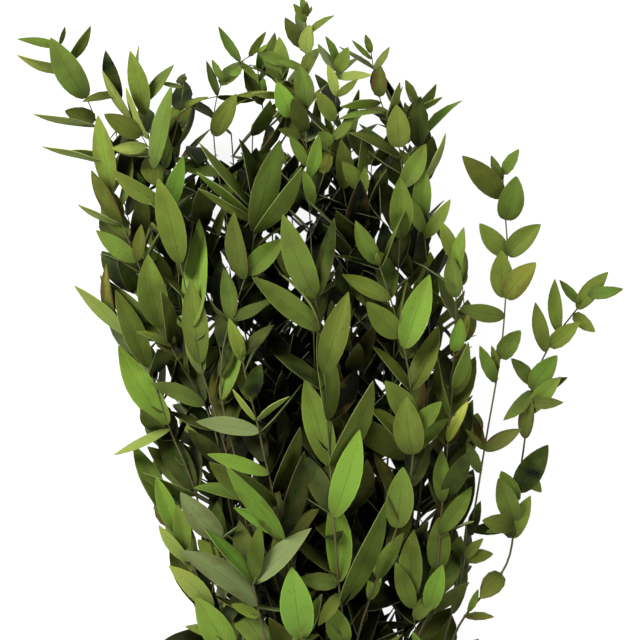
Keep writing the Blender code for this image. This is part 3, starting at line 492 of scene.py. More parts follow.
# Each material's scales of patches, specks and streaks
LEAF_SCALES, BARK_SCALES = (75.0, 420.0, 500.0), (160.0, 900.0, 1100.0)
CUT_SCALES, TWINE_SCALES = (900.0, 2400.0, 1200.0), (400.0, 1500.0, 2600.0)
# Colours that aren't settings, and factors that darken or lighten one that is
PALE_SPECK = (0.10, 0.09, 0.055, 1.0)
PALE_FIBRE = (0.26, 0.20, 0.12, 1.0)
DEEP, PALE_WOOD = 0.45, 5.0
PALER = (1.6, 1.5, 1.7, 1.0)
# Steps between nodes in the editor
NODE_GRID = (190, 170)


def clamped(value):
    """The value kept from 0 to 1."""
    return min(max(value, 0.0), 1.0)


def share_between(value, low, high):
    """How far the value lies on the way from low to high, from 0 to 1."""
    return clamped((value - low) / (high - low))


def between_rows(rows, at, column):
    """A measure read between the rows of a table, whose first column rises."""
    pairs = [pair for pair in zip(rows, rows[1:]) if at <= pair[1][0]]
    low, high = pairs[0] if pairs else rows[-2:]
    return low[column] + share_between(at, low[0], high[0]) * (high[column] - low[column])


def section(y, column):
    """A measure of the bunch's cross-section at y."""
    return between_rows(SECTIONS, y, column)


def in_bunch(y, across, depth):
    """The point at y that lies these shares of the half width and half height off the middle."""
    x = section(y, MIDDLE_X) + across * section(y, HALF_X)
    return Vector((x, y, section(y, MIDDLE_Z) + depth * section(y, HALF_Z)))


def shares_of(point):
    """How far a point lies off the bunch's middle, in shares of its half width and half height."""
    across = (point.x - section(point.y, MIDDLE_X)) / section(point.y, HALF_X)
    return across, (point.z - section(point.y, MIDDLE_Z)) / section(point.y, HALF_Z)


def seen_nearest(points, place):
    """The point that lies nearest to this place as seen from above."""
    return min(points, key=lambda point: (point.xy - place).length)


def sheet_place(u, v):
    """Where this place of the sheet lies over the bunch."""
    return Vector(((u - SHEET_MIDDLE) * SHEET_UNIT, (SHEET_MIDDLE - v) * SHEET_UNIT))


def on_sheet(u, v, depth):
    """A point of the sheet at its depth in the bunch, lower towards the bunch's sides."""
    x, y = sheet_place(u, v)
    across = (x - section(y, MIDDLE_X)) / section(y, HALF_X)
    crown = math.sqrt(1.0 - min(abs(across) * CROWN_BEND, CROWN_MOST) ** 2)
    z = section(y, MIDDLE_Z) + depth * crown * section(y, HALF_Z)
    return Vector((x, y, z))


def smooth_route(points):
    """Points about SAMPLE apart on a smooth curve through the given ones."""
    points = [2 * points[0] - points[1], *points, 2 * points[-1] - points[-2]]
    route = []
    for before, start, end, after in zip(points, points[1:], points[2:], points[3:]):
        steps = max(2, round((end - start).length / SAMPLE))
        for step in range(steps):
            t = step / steps
            bend = (2 * before - 5 * start + 4 * end - after) * t**2
            turn = (3 * start - before - 3 * end + after) * t**3
            route.append(start + 0.5 * ((end - before) * t + bend + turn))
    return [*route, points[-2]]


def bundle_places(wanted):
    """Where the stems pass the tie: near the places wanted, packed round without touching."""
    places = [place.copy() for place in wanted]
    apart = 2 * TUBE_CORNER * STEM_RADIUS + GAP
    for _ in range(PACKING_ROUNDS):
        for i, a in enumerate(places):
            for b in places[i + 1 :]:
                off = a - b
                if off.length < apart:
                    push = off.normalized() * (apart - off.length) / 2
                    a += push
                    b -= push
        for place in places:
            reach = BUNDLE_RADIUS - STEM_RADIUS
            if place.length > reach:
                place *= reach / place.length
    return places


def depth_at(stem, v):
    """A front stem's depth at this height of the sheet: well below its tip it sinks among the others."""
    below = v - stem["route"][-1][1] - SINK_FROM
    return stem["depth"] - SINK * clamped(below / SINK_OVER)


def stem_plans():
    """For each stem its route's upper points, its twigs, its drawn leaves and its place in the bunch."""
    plans = []
    for stem in FRONT_STEMS:
        points = [on_sheet(u, v, depth_at(stem, v)) for u, v in stem["route"]]
        across, depth = shares_of(points[0])
        twigs = [[on_sheet(u, v, depth_at(stem, v)) for u, v in twig] for twig in stem.get("twigs", ())]
        plans.append(dict(points=points, across=across, depth=depth, twigs=twigs, leaves=stem["leaves"]))
    draw = random.Random(FILLER_SEED)
    for depth, count, tip_y, spread in FILLER_ROWS:
        for i in range(count):
            across = spread * (2 * (i + 0.5) / count - 1) + draw.uniform(-FILLER_SHIFT, FILLER_SHIFT)
            top = tip_y + draw.uniform(-FILLER_TIP_SPREAD, FILLER_TIP_SPREAD)
            ys = (*FILLER_YS, FILLER_BEND_SHARE * top, top)
            points = [in_bunch(y, across, depth) for y in ys]
            for point in points[1:]:
                point.x += draw.uniform(-FILLER_WANDER_X, FILLER_WANDER_X)
                point.z += draw.uniform(-FILLER_WANDER_Z, FILLER_WANDER_Z)
            plans.append(dict(points=points, across=across, depth=depth, twigs=[], leaves=[]))
    return plans


def stem_routes(plans):
    """The smooth routes of the main stems, from the cut ends through the tie to the tips."""
    reach = BUNDLE_RADIUS - STEM_RADIUS
    wanted = [Vector((plan["across"], plan["depth"])) * reach * BUNDLE_SHARE for plan in plans]
    draw = random.Random(CUT_SEED)
    routes = []
    for plan, place in zip(plans, bundle_places(wanted)):
        middle = Vector((TIE_X, 0, TIE_Z))
        off = Vector((place.x, 0, place.y))
        cut = CUT_Y + draw.uniform(-CUT_SPREAD, CUT_SPREAD)
        splay = Vector((CUT_SPLAY_X * place.x + CUT_LEAN, 0, CUT_SPLAY_Z * place.y))
        low = [middle + splay, middle + off, middle + off, middle + off]
        for point, y in zip(low, (cut, TIE_Y - STRAIGHT_BY_TIE, TIE_Y, TIE_Y + STRAIGHT_BY_TIE)):
            point.y = y
        low += [in_bunch(y, plan["across"], plan["depth"]) for y in SHARED_YS]
        routes.append(smooth_route(low + plan["points"]))
    return routes


def radius_at(y):
    """A main stem's radius, thinner from its cut end to its tip."""
    return STEM_RADIUS + share_between(y, CUT_Y, TIP_Y) * (TIP_RADIUS - STEM_RADIUS)


def by_tie(y, there, away):
    """A measure that goes from its value at the tie to another well away from it."""
    return there + min(abs(y - TIE_Y) / FREE_FROM_TIE, 1.0) * (away - there)


def clear_routes(routes, owners):
    """Bends the stems off each other where they would touch, most of it up and down.

    owners gives each route's stem, so a twig isn't bent off the stem that it grows on.
    """
    for _ in range(CLEARING_ROUNDS):
        tree = KDTree(sum(len(route) for route in routes))
        owner = []
        for number, route in zip(owners, routes):
            for point in route:
                tree.insert(point, len(owner))
                owner.append(number)
        tree.balance()
        for number, route in zip(owners, routes):
            for i, point in enumerate(route):
                if abs(point.y - TIE_Y) < HELD_BY_TIE:
                    continue
                apart = 2 * TUBE_CORNER * radius_at(point.y) + by_tie(point.y, GAP, STEM_GAP)
                for near, index, distance in tree.find_range(point, apart):
                    if owner[index] == number:
                        continue
                    push = (point - near).normalized() if distance > COINCIDENT else UP
                    push = Vector((SIDEWAYS * push.x, 0, push.z)).normalized()
                    point += push * (apart - distance) * CLEARING_STEP
            for i in range(1, len(route) - 1):
                if abs(route[i].y - TIE_Y) > HELD_BY_TIE:
                    between = 0.5 * (route[i - 1] + route[i + 1])
                    route[i] += SMOOTHING_STEP * (between - route[i])
        for route in routes:
            for point in route:
                point.z = max(point.z, radius_at(point.y) + STEM_LIFT)


def fewer_points(route):
    """The points of a route that a straight run past them would miss by the tolerance there."""
    first, last = route[0], route[-1]
    run = (last - first).normalized()
    misses = []
    for point in route:
        off = ((point - first) - run * (point - first).dot(run)).length
        misses.append(off / by_tie(point.y, TIE_TOLERANCE, TUBE_TOLERANCE))
    worst = max(range(len(route)), key=misses.__getitem__)
    if misses[worst] < 1.0:
        return [first, last]
    return fewer_points(route[: worst + 1])[:-1] + fewer_points(route[worst:])


def placed(name, data):
    """A new object with this data, linked to the scene."""
    made = bpy.data.objects.new(name, data)
    bpy.context.scene.collection.objects.link(made)
    return made


def mesh_of(name, bm):
    """A new mesh of the bmesh, which is freed."""
    mesh = bpy.data.meshes.new(name)
    bm.to_mesh(mesh)
    bm.free()
    return mesh


def add_tube(bm, points, radii, roundness=0):
    """Adds a closed tube along the points, of four sides and two more for each roundness."""
    curve = bpy.data.curves.new("tube", "CURVE")
    curve.dimensions = "3D"
    curve.bevel_depth = 1.0
    curve.bevel_resolution = roundness
    curve.use_fill_caps = True
    spline = curve.splines.new("POLY")
    spline.points.add(len(points) - 1)
    for place, point, radius in zip(spline.points, points, radii):
        place.co = (*point, 1.0)
        place.radius = radius
    drawn = placed("tube", curve)
    bpy.context.view_layer.update()
    graph = bpy.context.evaluated_depsgraph_get()
    mesh = bpy.data.meshes.new_from_object(drawn.evaluated_get(graph))
    bpy.data.objects.remove(drawn)
    part = bmesh.new()
    part.from_mesh(mesh)
    bmesh.ops.remove_doubles(part, verts=part.verts, dist=MERGE)
    bmesh.ops.recalc_face_normals(part, faces=part.faces)
    part.to_mesh(mesh)
    part.free()
    bm.from_mesh(mesh)
    bpy.data.meshes.remove(mesh)


def faced(leaf):
    """The way a leaf faces, and the way its thickness rises: straight up where it is pressed flat."""
    face = (leaf["tip"] - leaf["base"]).cross(leaf["side"]).normalized()
    if face.z < 0:
        face = -face
    return face, UP if leaf["pressed"] else face


def thicken(bm, rise):
    """Extrudes all faces by this much."""
    top = bmesh.ops.extrude_face_region(bm, geom=bm.faces[:])["geom"]
    moved = [part for part in top if isinstance(part, bmesh.types.BMVert)]
    bmesh.ops.translate(bm, verts=moved, vec=rise)


def blade(leaf, grow=0.0, start=0.0):
    """A leaf as a closed bmesh: its underside laid out in triangles, then extruded to its thickness.

    grow widens and thickens it all round, and start leaves out that share of it from its root.
    """
    base, tip, side, width = leaf["base"], leaf["tip"], leaf["side"], leaf["width"]
    run = tip - base
    face, rise = faced(leaf)
    pressed = leaf["pressed"]
    thick = PRESSED_THICK if pressed else LEAF_THICK
    arch = leaf["arch"] * run.length
    outline = LARGE_OUTLINE if run.length > LARGE_LEAF else SMALL_OUTLINE
    outline = TINY_OUTLINE if run.length < TINY_LEAF else outline
    root = base + run * start - run.normalized() * (0.0 if start else LEAF_ROOT)
    bm = bmesh.new()
    rows = [[bm.verts.new(root + 4 * arch * start * (1 - start) * face)]]
    for share, wide in outline:
        if share <= start:
            continue
        middle = base + run * share + 4 * arch * share * (1 - share) * face
        half = side * (0.5 * wide * width + grow)
        rows.append([bm.verts.new(middle - half), bm.verts.new(middle + half)])
    rows.append([bm.verts.new(tip + run.normalized() * grow)])
    for vert in bm.verts:
        if pressed:
            vert.co.z = max(vert.co.z, 0.0)
        vert.co -= rise * grow
    for low, high in zip(rows, rows[1:]):
        if len(high) == 2:
            bm.faces.new((low[0], high[0], high[1]))
        if len(low) == 2:
            bm.faces.new((low[0], high[-1], low[1]))
    bm.normal_update()
    bm.faces.ensure_lookup_table()
    if bm.faces[0].normal.dot(rise) > 0:
        bmesh.ops.reverse_faces(bm, faces=bm.faces)
    thicken(bm, rise * (thick + 2 * grow))
    return bm


def box_of(verts):
    """The lowest and highest corner of these vertices."""
    corners = [vert.co for vert in verts]
    return Vector(map(min, zip(*corners))), Vector(map(max, zip(*corners)))


class Crowd:
    """All pieces placed so far, to find what a new leaf would touch.

    A piece is kept under its stem's number, which is negative for the stem's own wood, because a
    leaf is rooted in that and so may touch it.
    """

    def __init__(self):
        self.cells = {}

    def cells_of(self, low, high):
        """The cells of space that a box reaches."""
        spans = (range(math.floor(low[i] / CELL), math.floor(high[i] / CELL) + 1) for i in range(3))
        return itertools.product(*spans)

    def add(self, node, bm):
        """Keeps a piece of this stem, with its box."""
        low, high = box_of(bm.verts)
        piece = (node, low, high, BVHTree.FromBMesh(bm))
        for cell in self.cells_of(low, high):
            self.cells.setdefault(cell, []).append(piece)

    def touches(self, bm, wanted):
        """Whether this shape cuts a piece of one of the wanted stems."""
        low, high = box_of(bm.verts)
        cells = (self.cells.get(cell, ()) for cell in self.cells_of(low, high))
        near = {id(piece): piece for piece in itertools.chain.from_iterable(cells)}
        tree = None
        for node, other_low, other_high, other in near.values():
            if not wanted(node):
                continue
            if any(low[i] > other_high[i] or other_low[i] > high[i] for i in range(3)):
                continue
            tree = tree or BVHTree.FromBMesh(bm)
            if tree.overlap(other):
                return True
        return False


def touched(crowd, leaf, wanted, **room):
    """Whether the leaf, with this room round it, cuts a piece of one of the wanted stems."""
    guard = blade(leaf, **room)
    met = crowd.touches(guard, wanted)
    guard.free()
    return met


def settled(crowd, node, choices):
    """The first of a leaf's possible places that is free of all other pieces, or None."""
    for leaf in choices:
        bm = blade(leaf)
        lowest = box_of(bm.verts)[0].z
        bm.free()
        if lowest < LOWEST_FREE:
            leaf["pressed"] = True
            leaf["side"] = UP.cross(leaf["tip"] - leaf["base"]).normalized()
            leaf["tip"].z = max(leaf["tip"].z, -PRESSED_DIP)
        if touched(crowd, leaf, lambda other: abs(other) != node, grow=GAP + LEAF_MARGIN):
            continue
        if not touched(crowd, leaf, lambda other: other == node, grow=LEAF_MARGIN, start=FREE_ROOT):
            return leaf
    return None


def drawn_leaf_choices(routes, entry, draw):
    """Places for a leaf drawn on the sheet: it keeps its outline from above and tilts up or down."""
    foot, end = sheet_place(*entry[:2]), sheet_place(*entry[2:4])
    base = seen_nearest([point for route in routes for point in route], foot).copy()
    over = Vector((*end, base.z))
    flat = (over - base).length
    seen_wide = entry[4] * SHEET_UNIT
    lean = draw.uniform(-DRAWN_LEAN, DRAWN_LEAN)
    turn = draw.choice((-1, 1))
    arch = draw.uniform(*DRAWN_ARCH)
    for shrink in SHRINKS:
        for tilt in TILTS:
            tip = base + (over - base) * shrink
            tip.z = base.z + (tilt + lean) * flat
            run = tip - base
            width = max(seen_wide, DRAWN_RATIO * run.length) * shrink
            roll = math.acos(min(seen_wide * shrink / width, 1.0))
            level = UP.cross(run).normalized()
            for way in (turn, -turn):
                side = Matrix.Rotation(way * roll, 3, run.normalized()) @ level
                yield dict(base=base, tip=tip.copy(), side=side, width=width, arch=arch, pressed=False)


def paired_leaf_choices(point, heading, turned, length, draw):
    """Places for one leaf of a pair: out from the stem at its turn round it, then turned a little."""
    splay = draw.uniform(*SPLAY)
    twist = draw.uniform(-TWIST, TWIST)
    ratio = LEAF_RATIO * draw.uniform(*RATIO_SPREAD)
    arch = draw.uniform(*PAIRED_ARCH)
    level = heading.cross(UP).normalized()
    upright = level.cross(heading).normalized()
    for shrink in SHRINKS:
        for turn in TURNS:
            out = level * math.cos(turned + turn) + upright * math.sin(turned + turn)
            for opening in OPENINGS:
                way = heading * math.cos(splay + opening) + out * math.sin(splay + opening)
                tip = point + way * length * shrink
                across = Matrix.Rotation(twist, 3, way) @ heading.cross(out).normalized()
                width = ratio * length * shrink
                yield dict(base=point.copy(), tip=tip, side=across, width=width, arch=arch, pressed=False)


def pair_places(route, from_y, to_y, draw, spacing=PAIR_SPACING):
    """Where leaf pairs sit on a route: point, heading and the length of their leaves."""
    walked, due = 0.0, draw.uniform(0.0, spacing)
    for before, point in zip(route, route[1:]):
        if not from_y <= point.y <= to_y:
            continue
        walked += (point - before).length
        if walked < due:
            continue
        due = walked + spacing * draw.uniform(*SPACING_SPREAD)
        share = share_between(point.y, RULED_FROM_Y, TIP_Y) ** 2
        length = LEAF_LENGTH + share * (TIP_LEAF_LENGTH - LEAF_LENGTH)
        yield point, (point - before).normalized(), length * draw.uniform(*LENGTH_SPREAD)


def settle_all(crowd, node, offered):
    """The leaves that find a free place, each kept in the crowd as it is placed."""
    found = []
    for choices in offered:
        leaf = settled(crowd, node, choices)
        if leaf:
            bm = blade(leaf)
            crowd.add(node, bm)
            bm.free()
            found.append(leaf)
    return found


def drawn_leaves(crowd, node, routes, plan):
    """The leaves of a front stem that are drawn on the sheet, apart from its slivers."""
    draw = random.Random(DRAWN_SEED + node)
    offered = []
    for entry, letter in zip(plan["leaves"], plan["tones"]):
        if entry[-1] >= SLIVER:
            offered.append(toned(drawn_leaf_choices(routes, entry, draw), letter))
    return settle_all(crowd, node, offered)


def ruled_leaves(crowd, node, route, whole):
    """Pairs of leaves along a stem, each turned a quarter from the last, and one at a whole tip."""
    draw = random.Random(RULED_SEED + node)
    turned = draw.uniform(0, math.pi)
    offered = []
    to_y = TIP_Y if whole else RULED_TO_Y
    for point, heading, length in pair_places(route, RULED_FROM_Y, to_y, draw):
        for opposite in (0.0, math.pi):
            offered.append(paired_leaf_choices(point, heading, turned + opposite, length, draw))
        turned += math.pi / 2
    if whole:
        heading = (route[-1] - route[-3]).normalized()
        offered.append(paired_leaf_choices(route[-1], heading, turned, TIP_LEAF_LENGTH, draw))
    return settle_all(crowd, node, offered)


def grown_routes(plans):
    """Each stem's routes, its own first and then its twigs', all bent clear of other stems."""
    mains = stem_routes(plans)
    grown = []
    for plan, route in zip(plans, mains):
        grown.append([route])
        for twig in plan["twigs"]:
            foot = seen_nearest(route, twig[0].xy)
            lift = Vector((0, 0, foot.z - twig[0].z))
            grown[-1].append(smooth_route([foot.copy(), *(point + lift for point in twig[1:])]))
    owners = [number for number, routes in enumerate(grown) for _ in routes]
    clear_routes([route for routes in grown for route in routes], owners)
    for routes in grown:
        for twig in routes[1:]:
            twig[0] = min(routes[0], key=lambda point: (point - twig[0]).length).copy()
    return grown


def crowd_of_wood(grown):
    """The crowd with every stem's and twig's plain tube in it, before any leaf."""
    crowd = Crowd()
    for number, routes in enumerate(grown, start=1):
        for i, route in enumerate(routes):
            few = fewer_points(route)
            radii = [TWIG_RADIUS if i else radius_at(point.y) for point in few]
            bm = bmesh.new()
            add_tube(bm, few, [radius * TUBE_CORNER for radius in radii])
            crowd.add(number if i else -number, bm)
            bm.free()
    return crowd


def toned(choices, letter):
    """The same places, with the letter of the leaf's tone."""
    for leaf in choices:
        leaf["tone"] = letter
        yield leaf


def within_reach(point):
    """Whether an added leaf's tip stays inside the outline of the foliage."""
    u, v = point.x / SHEET_UNIT + SHEET_MIDDLE, SHEET_MIDDLE - point.y / SHEET_UNIT
    if math.hypot(u - OPEN_PLACE[0], v - OPEN_PLACE[1]) < OPEN_PLACE[2]:
        return False
    if v >= REACH[-1][0]:
        return True
    left, right = (between_rows(REACH, v, side) for side in (1, 2))
    return v >= REACH[0][0] and left < u < right


def spare_choices(choices, front, low, high):
    """The first few places of an added leaf: inside the box, and on a front stem leaning back."""
    for leaf in itertools.islice(choices, EXTRA_TRIES):
        tip = leaf["tip"]
        if front and tip.z > leaf["base"].z - FRONT_DROP * (tip - leaf["base"]).length:
            continue
        if all(low[i] < tip[i] < high[i] for i in range(2)) and tip.z < high.z and within_reach(tip):
            yield leaf


def spare_twigs(node, stem):
    """The routes and tones of the thin twigs that this node's stem gets on top of its solid's."""
    for number, depth, tones, places in SPARE_TWIGS:
        if number == node:
            points = [on_sheet(u, v, depth) for u, v in places]
            start = seen_nearest(stem, points[0].xy)
            yield smooth_route([start.copy(), *points[1:]]), tones


def share_out(leaf):
    """How far out in the bunch a leaf's middle lies: 0 at its core and 1 at its surface."""
    middle = 0.5 * (leaf["base"] + leaf["tip"])
    return math.hypot(*shares_of(middle)) if middle.y < INNER_TO_Y else 1.0


def ruled_tone(leaf, draw):
    """A tone's letter for a leaf that wasn't drawn: darker towards the bunch's core, as painted shade."""
    out = share_out(leaf)
    return draw.choice(next(letters for limit, letters in RULED_TONES if out < limit or limit > 1))


def settle_extras(crowd, node, offered):
    """The added leaves that find a free place, and those of the core, which squeeze in."""
    found = []
    for choices in offered:
        choices = list(choices)
        free = settle_all(crowd, node, [choices])
        found += free or [leaf for leaf in choices[:1] if share_out(leaf) < CORE_SHARE]
    return found


def extra_leaves(crowd, node, routes, plan, spacing, low, high):
    """Drawn slivers and leaves still missing, then small pairs along the stem and its twigs."""
    draw = random.Random(EXTRA_SEED + node)
    front = bool(plan["leaves"])
    spacing *= 1.0 if front else BACK_SPACING
    offered = []
    for entry, letter in zip(plan["leaves"], plan["tones"]):
        if entry[-1] < SLIVER:
            offered.append(toned(drawn_leaf_choices(routes, entry, draw), letter))
    wood = [*routes, *(route for route, _ in plan["spare"])]
    for number, entry, letter in SPARE_LEAVES:
        if number == node:
            offered.append(toned(drawn_leaf_choices(wood, entry, draw), letter))
    for route, tones in (*((route, "") for route in routes), *plan["spare"]):
        turned = draw.uniform(0, math.pi)
        end = min(route[-1].y, RULED_TO_Y) if node in SPARSE else route[-1].y
        for point, heading, length in pair_places(route, RULED_FROM_Y, end, draw, spacing):
            for opposite in (0.0, math.pi):
                grown = length * draw.uniform(*EXTRA_SPREAD)
                choices = paired_leaf_choices(point, heading, turned + opposite, grown, draw)
                choices = spare_choices(choices, front and not tones, low, high)
                offered.append(toned(choices, draw.choice(tones)) if tones else choices)
            turned += math.pi / 2
        heading = (route[-1] - route[-3]).normalized()
        for opposite in (0.0, math.pi):
            bud = BUD_LENGTH * draw.uniform(*BUD_SPREAD)
            choices = paired_leaf_choices(route[-1], heading, turned + opposite, bud, draw)
            offered.append(spare_choices(choices, False, low, high))
    return settle_extras(crowd, node, offered)


def fine_radius(y):
    """A fine stem's radius: as thick as its solid at the tie, and slender among the leaves."""
    return between_rows(FINE_RADII, y, 1)


def leaf_template(columns, rows):
    """A leaf in shares: x across from -1 to 1, y along from 0 to 1, z 0 under and 1 on top."""
    bm = bmesh.new()
    bm.loops.layers.uv.new("UVMap")
    bmesh.ops.create_grid(bm, x_segments=columns, y_segments=rows, size=1.0, calc_uvs=True)
    for vert in bm.verts:
        vert.co.y = 0.5 - 0.5 * math.cos(0.5 * math.pi * (vert.co.y + 1))
    for end in (0.0, 1.0):
        row = [vert for vert in bm.verts if abs(vert.co.y - end) < AT_END]
        bmesh.ops.pointmerge(bm, verts=row, merge_co=(0, end, 0))
    bmesh.ops.reverse_faces(bm, faces=bm.faces)
    thicken(bm, UP)
    return mesh_of("leaf_template", bm)


def fine_width(along, ovate):
    """A leaf's width at this share of its length, rounded at its base and drawn out at its tip."""
    turn = math.pi * along ** (WIDEST[0] - WIDEST[1] * ovate)
    full, less = TIP_FULL if turn > 0.5 * math.pi else BASE_FULL
    return max(math.sin(turn), 0.0) ** (full - less * ovate)


def grow_leaf(bm, templates, leaf, draw):
    """Adds one fine leaf where its plain blade stands: folded at its midrib, waved and bent."""
    base, side, pressed = leaf["base"], leaf["side"], leaf["pressed"]
    run = leaf["tip"] - base
    length, half = run.length, 0.5 * leaf["width"]
    face, rise = faced(leaf)
    still = PRESSED_KEEPS if pressed else 1.0
    ovate = clamped((2 * half / length - OVATE_FROM) / OVATE_OVER)
    fold = still * draw.uniform(*FOLD)
    wave = still * draw.uniform(-WAVE, WAVE)
    phase = draw.uniform(0.0, math.pi)
    bend = still * draw.uniform(-TIP_BEND, TIP_BEND)
    sickle = length * draw.uniform(-SICKLE, SICKLE)
    middle_lift = 0.5 * (PRESSED_THICK if pressed else LEAF_THICK) - 0.5 * FINE_LEAF
    # A leaf with no drawn tone takes ruled_tone's letter: painted shade, darker the further inside the
    # bunch it lies
    light, yellow, brown, grey = TONES[leaf.get("tone") or ruled_tone(leaf, draw)]
    light = clamped(light * draw.uniform(*LIGHT_SPREAD))
    brown = max(brown, draw.choice(BROWNS))
    yellow = max(yellow + draw.uniform(*YELLOW_SHIFT), 0.0)
    grey = clamped(grey + draw.uniform(*GREY_SHIFT))
    first = len(bm.verts)
    bm.from_mesh(templates[(length > TINY_LEAF) + (length > DRAWN_FINE and "tone" in leaf)])
    bm.verts.ensure_lookup_table()
    tones = bm.verts.layers.float_color["tone"]
    for vert in bm.verts[first:]:
        across, along, on_top = vert.co
        reach = across * half * fine_width(along, ovate)
        up = 4 * leaf["arch"] * length * along * (1 - along) + bend * length * along**3
        ripple = math.sin(WAVE_ANGLE * along + phase + (across > 0) * WAVE_OFFSET)
        up += abs(reach) * (fold + wave * ripple)
        aside = reach + sickle * 4 * along * (1 - along)
        vert.co = base + run * along + side * aside + face * up + rise * middle_lift
        vert.co.z = max(vert.co.z, LOWEST_FINE)
        vert.co += rise * (on_top * FINE_LEAF)
        vert[tones] = (light, yellow, brown, grey if on_top else 1.0 - GREY_LOST_BELOW * grey)


def grow_wood(bm, route, radii, cut):
    """Adds a round stem or twig along its route, and the pale face of its cut end."""
    few = route[::WOOD_STEP]
    if few[-1] is not route[-1]:
        few = [*few, route[-1]]
    thick = radii[::WOOD_STEP]
    first, first_face = len(bm.verts), len(bm.faces)
    add_tube(bm, few, [*thick, radii[-1]][: len(few)], ROUND_WOOD)
    bm.verts.ensure_lookup_table()
    bm.faces.ensure_lookup_table()
    tones = bm.verts.layers.float_color["tone"]
    for vert in bm.verts[first:]:
        vert[tones] = (share_between(vert.co.y, CUT_Y, TIP_Y), 0.0, 0.0, 0.0)
    for face in bm.faces[first_face:]:
        at_cut = cut and len(face.verts) > 4 and face.calc_center_median().y < TIE_Y
        face.material_index = 2 if at_cut else 1


def grow_nodes(bm, leaves, routes):
    """Adds a small swelling where each pair of leaves sits."""
    kept = []
    for leaf in leaves:
        base = leaf["base"]
        if any((base - other).length < NODE_APART for other in kept):
            continue
        kept.append(base)
        on_stem = min((point - base).length for point in routes[0]) < NODE_ON_STEM
        size = NODE_SWELLING * (fine_radius(base.y) if on_stem else FINE_TWIG)
        first_face = len(bm.faces)
        place = Matrix.Translation(base) @ Matrix.Diagonal((size, NODE_LENGTH * size, size, 1.0))
        made = bmesh.ops.create_icosphere(bm, subdivisions=1, radius=1.0, matrix=place)
        tones = bm.verts.layers.float_color["tone"]
        for vert in made["verts"]:
            vert[tones] = NODE_TONE
        bm.faces.ensure_lookup_table()
        for face in bm.faces[first_face:]:
            face.material_index = 1


def sheet_shift():
    """What brings the sheet's frame into the object's: the tie's solid shows it."""
    low, high = (Vector(corner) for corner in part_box("tie"))
    middle = 0.5 * (low + high)
    return Vector((middle.x - TIE_X * MM, middle.y - TIE_Y * MM, 0.0))


def finish_piece(name, bm, materials, node):
    """Puts the piece in metres at its place in the object, where it stands for its node."""
    mesh = mesh_of(name, bm)
    mesh.transform(Matrix.Translation(sheet_shift()) @ Matrix.Scale(MM, 4))
    mesh.shade_smooth()
    mesh.set_sharp_from_angle(angle=SHARP_ANGLE)
    for material in materials:
        mesh.materials.append(material)
    piece = placed(name, mesh)
    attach(piece, "root")
    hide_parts(node)


def new_node(tree, kind, place, **values):
    """A node of this kind at this place of the editor, with its settings."""
    made = tree.nodes.new(kind)
    made.location = [share * step for share, step in zip(place, NODE_GRID)]
    for name, value in values.items():
        setattr(made, name, value)
    return made


def wired(tree, target, source):
    """Joins an output socket to an input socket, or sets the input's value."""
    if isinstance(source, bpy.types.NodeSocket):
        tree.links.new(source, target)
    else:
        target.default_value = source


def math_node(tree, place, operation, *values):
    """The output of a Math node over these values or sockets."""
    made = new_node(tree, "ShaderNodeMath", place, operation=operation)
    for target, value in zip(made.inputs, values):
        wired(tree, target, value)
    return made.outputs[0]


def mixed(tree, place, share, one, two, blend="MIX"):
    """The colour of a Mix node."""
    made = new_node(tree, "ShaderNodeMix", place, data_type="RGBA", blend_type=blend)
    wired(tree, made.inputs["Factor"], share)
    wired(tree, made.inputs[6], one)
    wired(tree, made.inputs[7], two)
    return made.outputs[2]


def mapped(tree, place, value, from_low, from_high, to_low=0.0, to_high=1.0, smooth=False):
    """The value carried from one range to another, kept inside it."""
    made = new_node(tree, "ShaderNodeMapRange", place)
    made.interpolation_type = "SMOOTHSTEP" if smooth else "LINEAR"
    wired(tree, made.inputs["Value"], value)
    made.inputs["From Min"].default_value, made.inputs["From Max"].default_value = from_low, from_high
    made.inputs["To Min"].default_value, made.inputs["To Max"].default_value = to_low, to_high
    return made.outputs[0]


def ramp(tree, place, value, stops):
    """The colour of a ramp with these stops."""
    made = new_node(tree, "ShaderNodeValToRGB", place)
    wired(tree, made.inputs[0], value)
    elements = made.color_ramp.elements
    elements[0].position, elements[1].position = stops[0][0], stops[-1][0]
    elements[0].color, elements[1].color = (*stops[0][1], 1.0), (*stops[-1][1], 1.0)
    for place_on, colour in stops[1:-1]:
        elements.new(place_on).color = (*colour, 1.0)
    return made.outputs[0]


def texture(tree, kind, place, where, scale, output, detail=None):
    """One output of a noise or Voronoi texture."""
    made = new_node(tree, kind, place)
    if detail:
        made.inputs["Detail"].default_value = detail
    wired(tree, made.inputs["Vector"], where)
    wired(tree, made.inputs["Scale"], scale)
    return made.outputs[output]


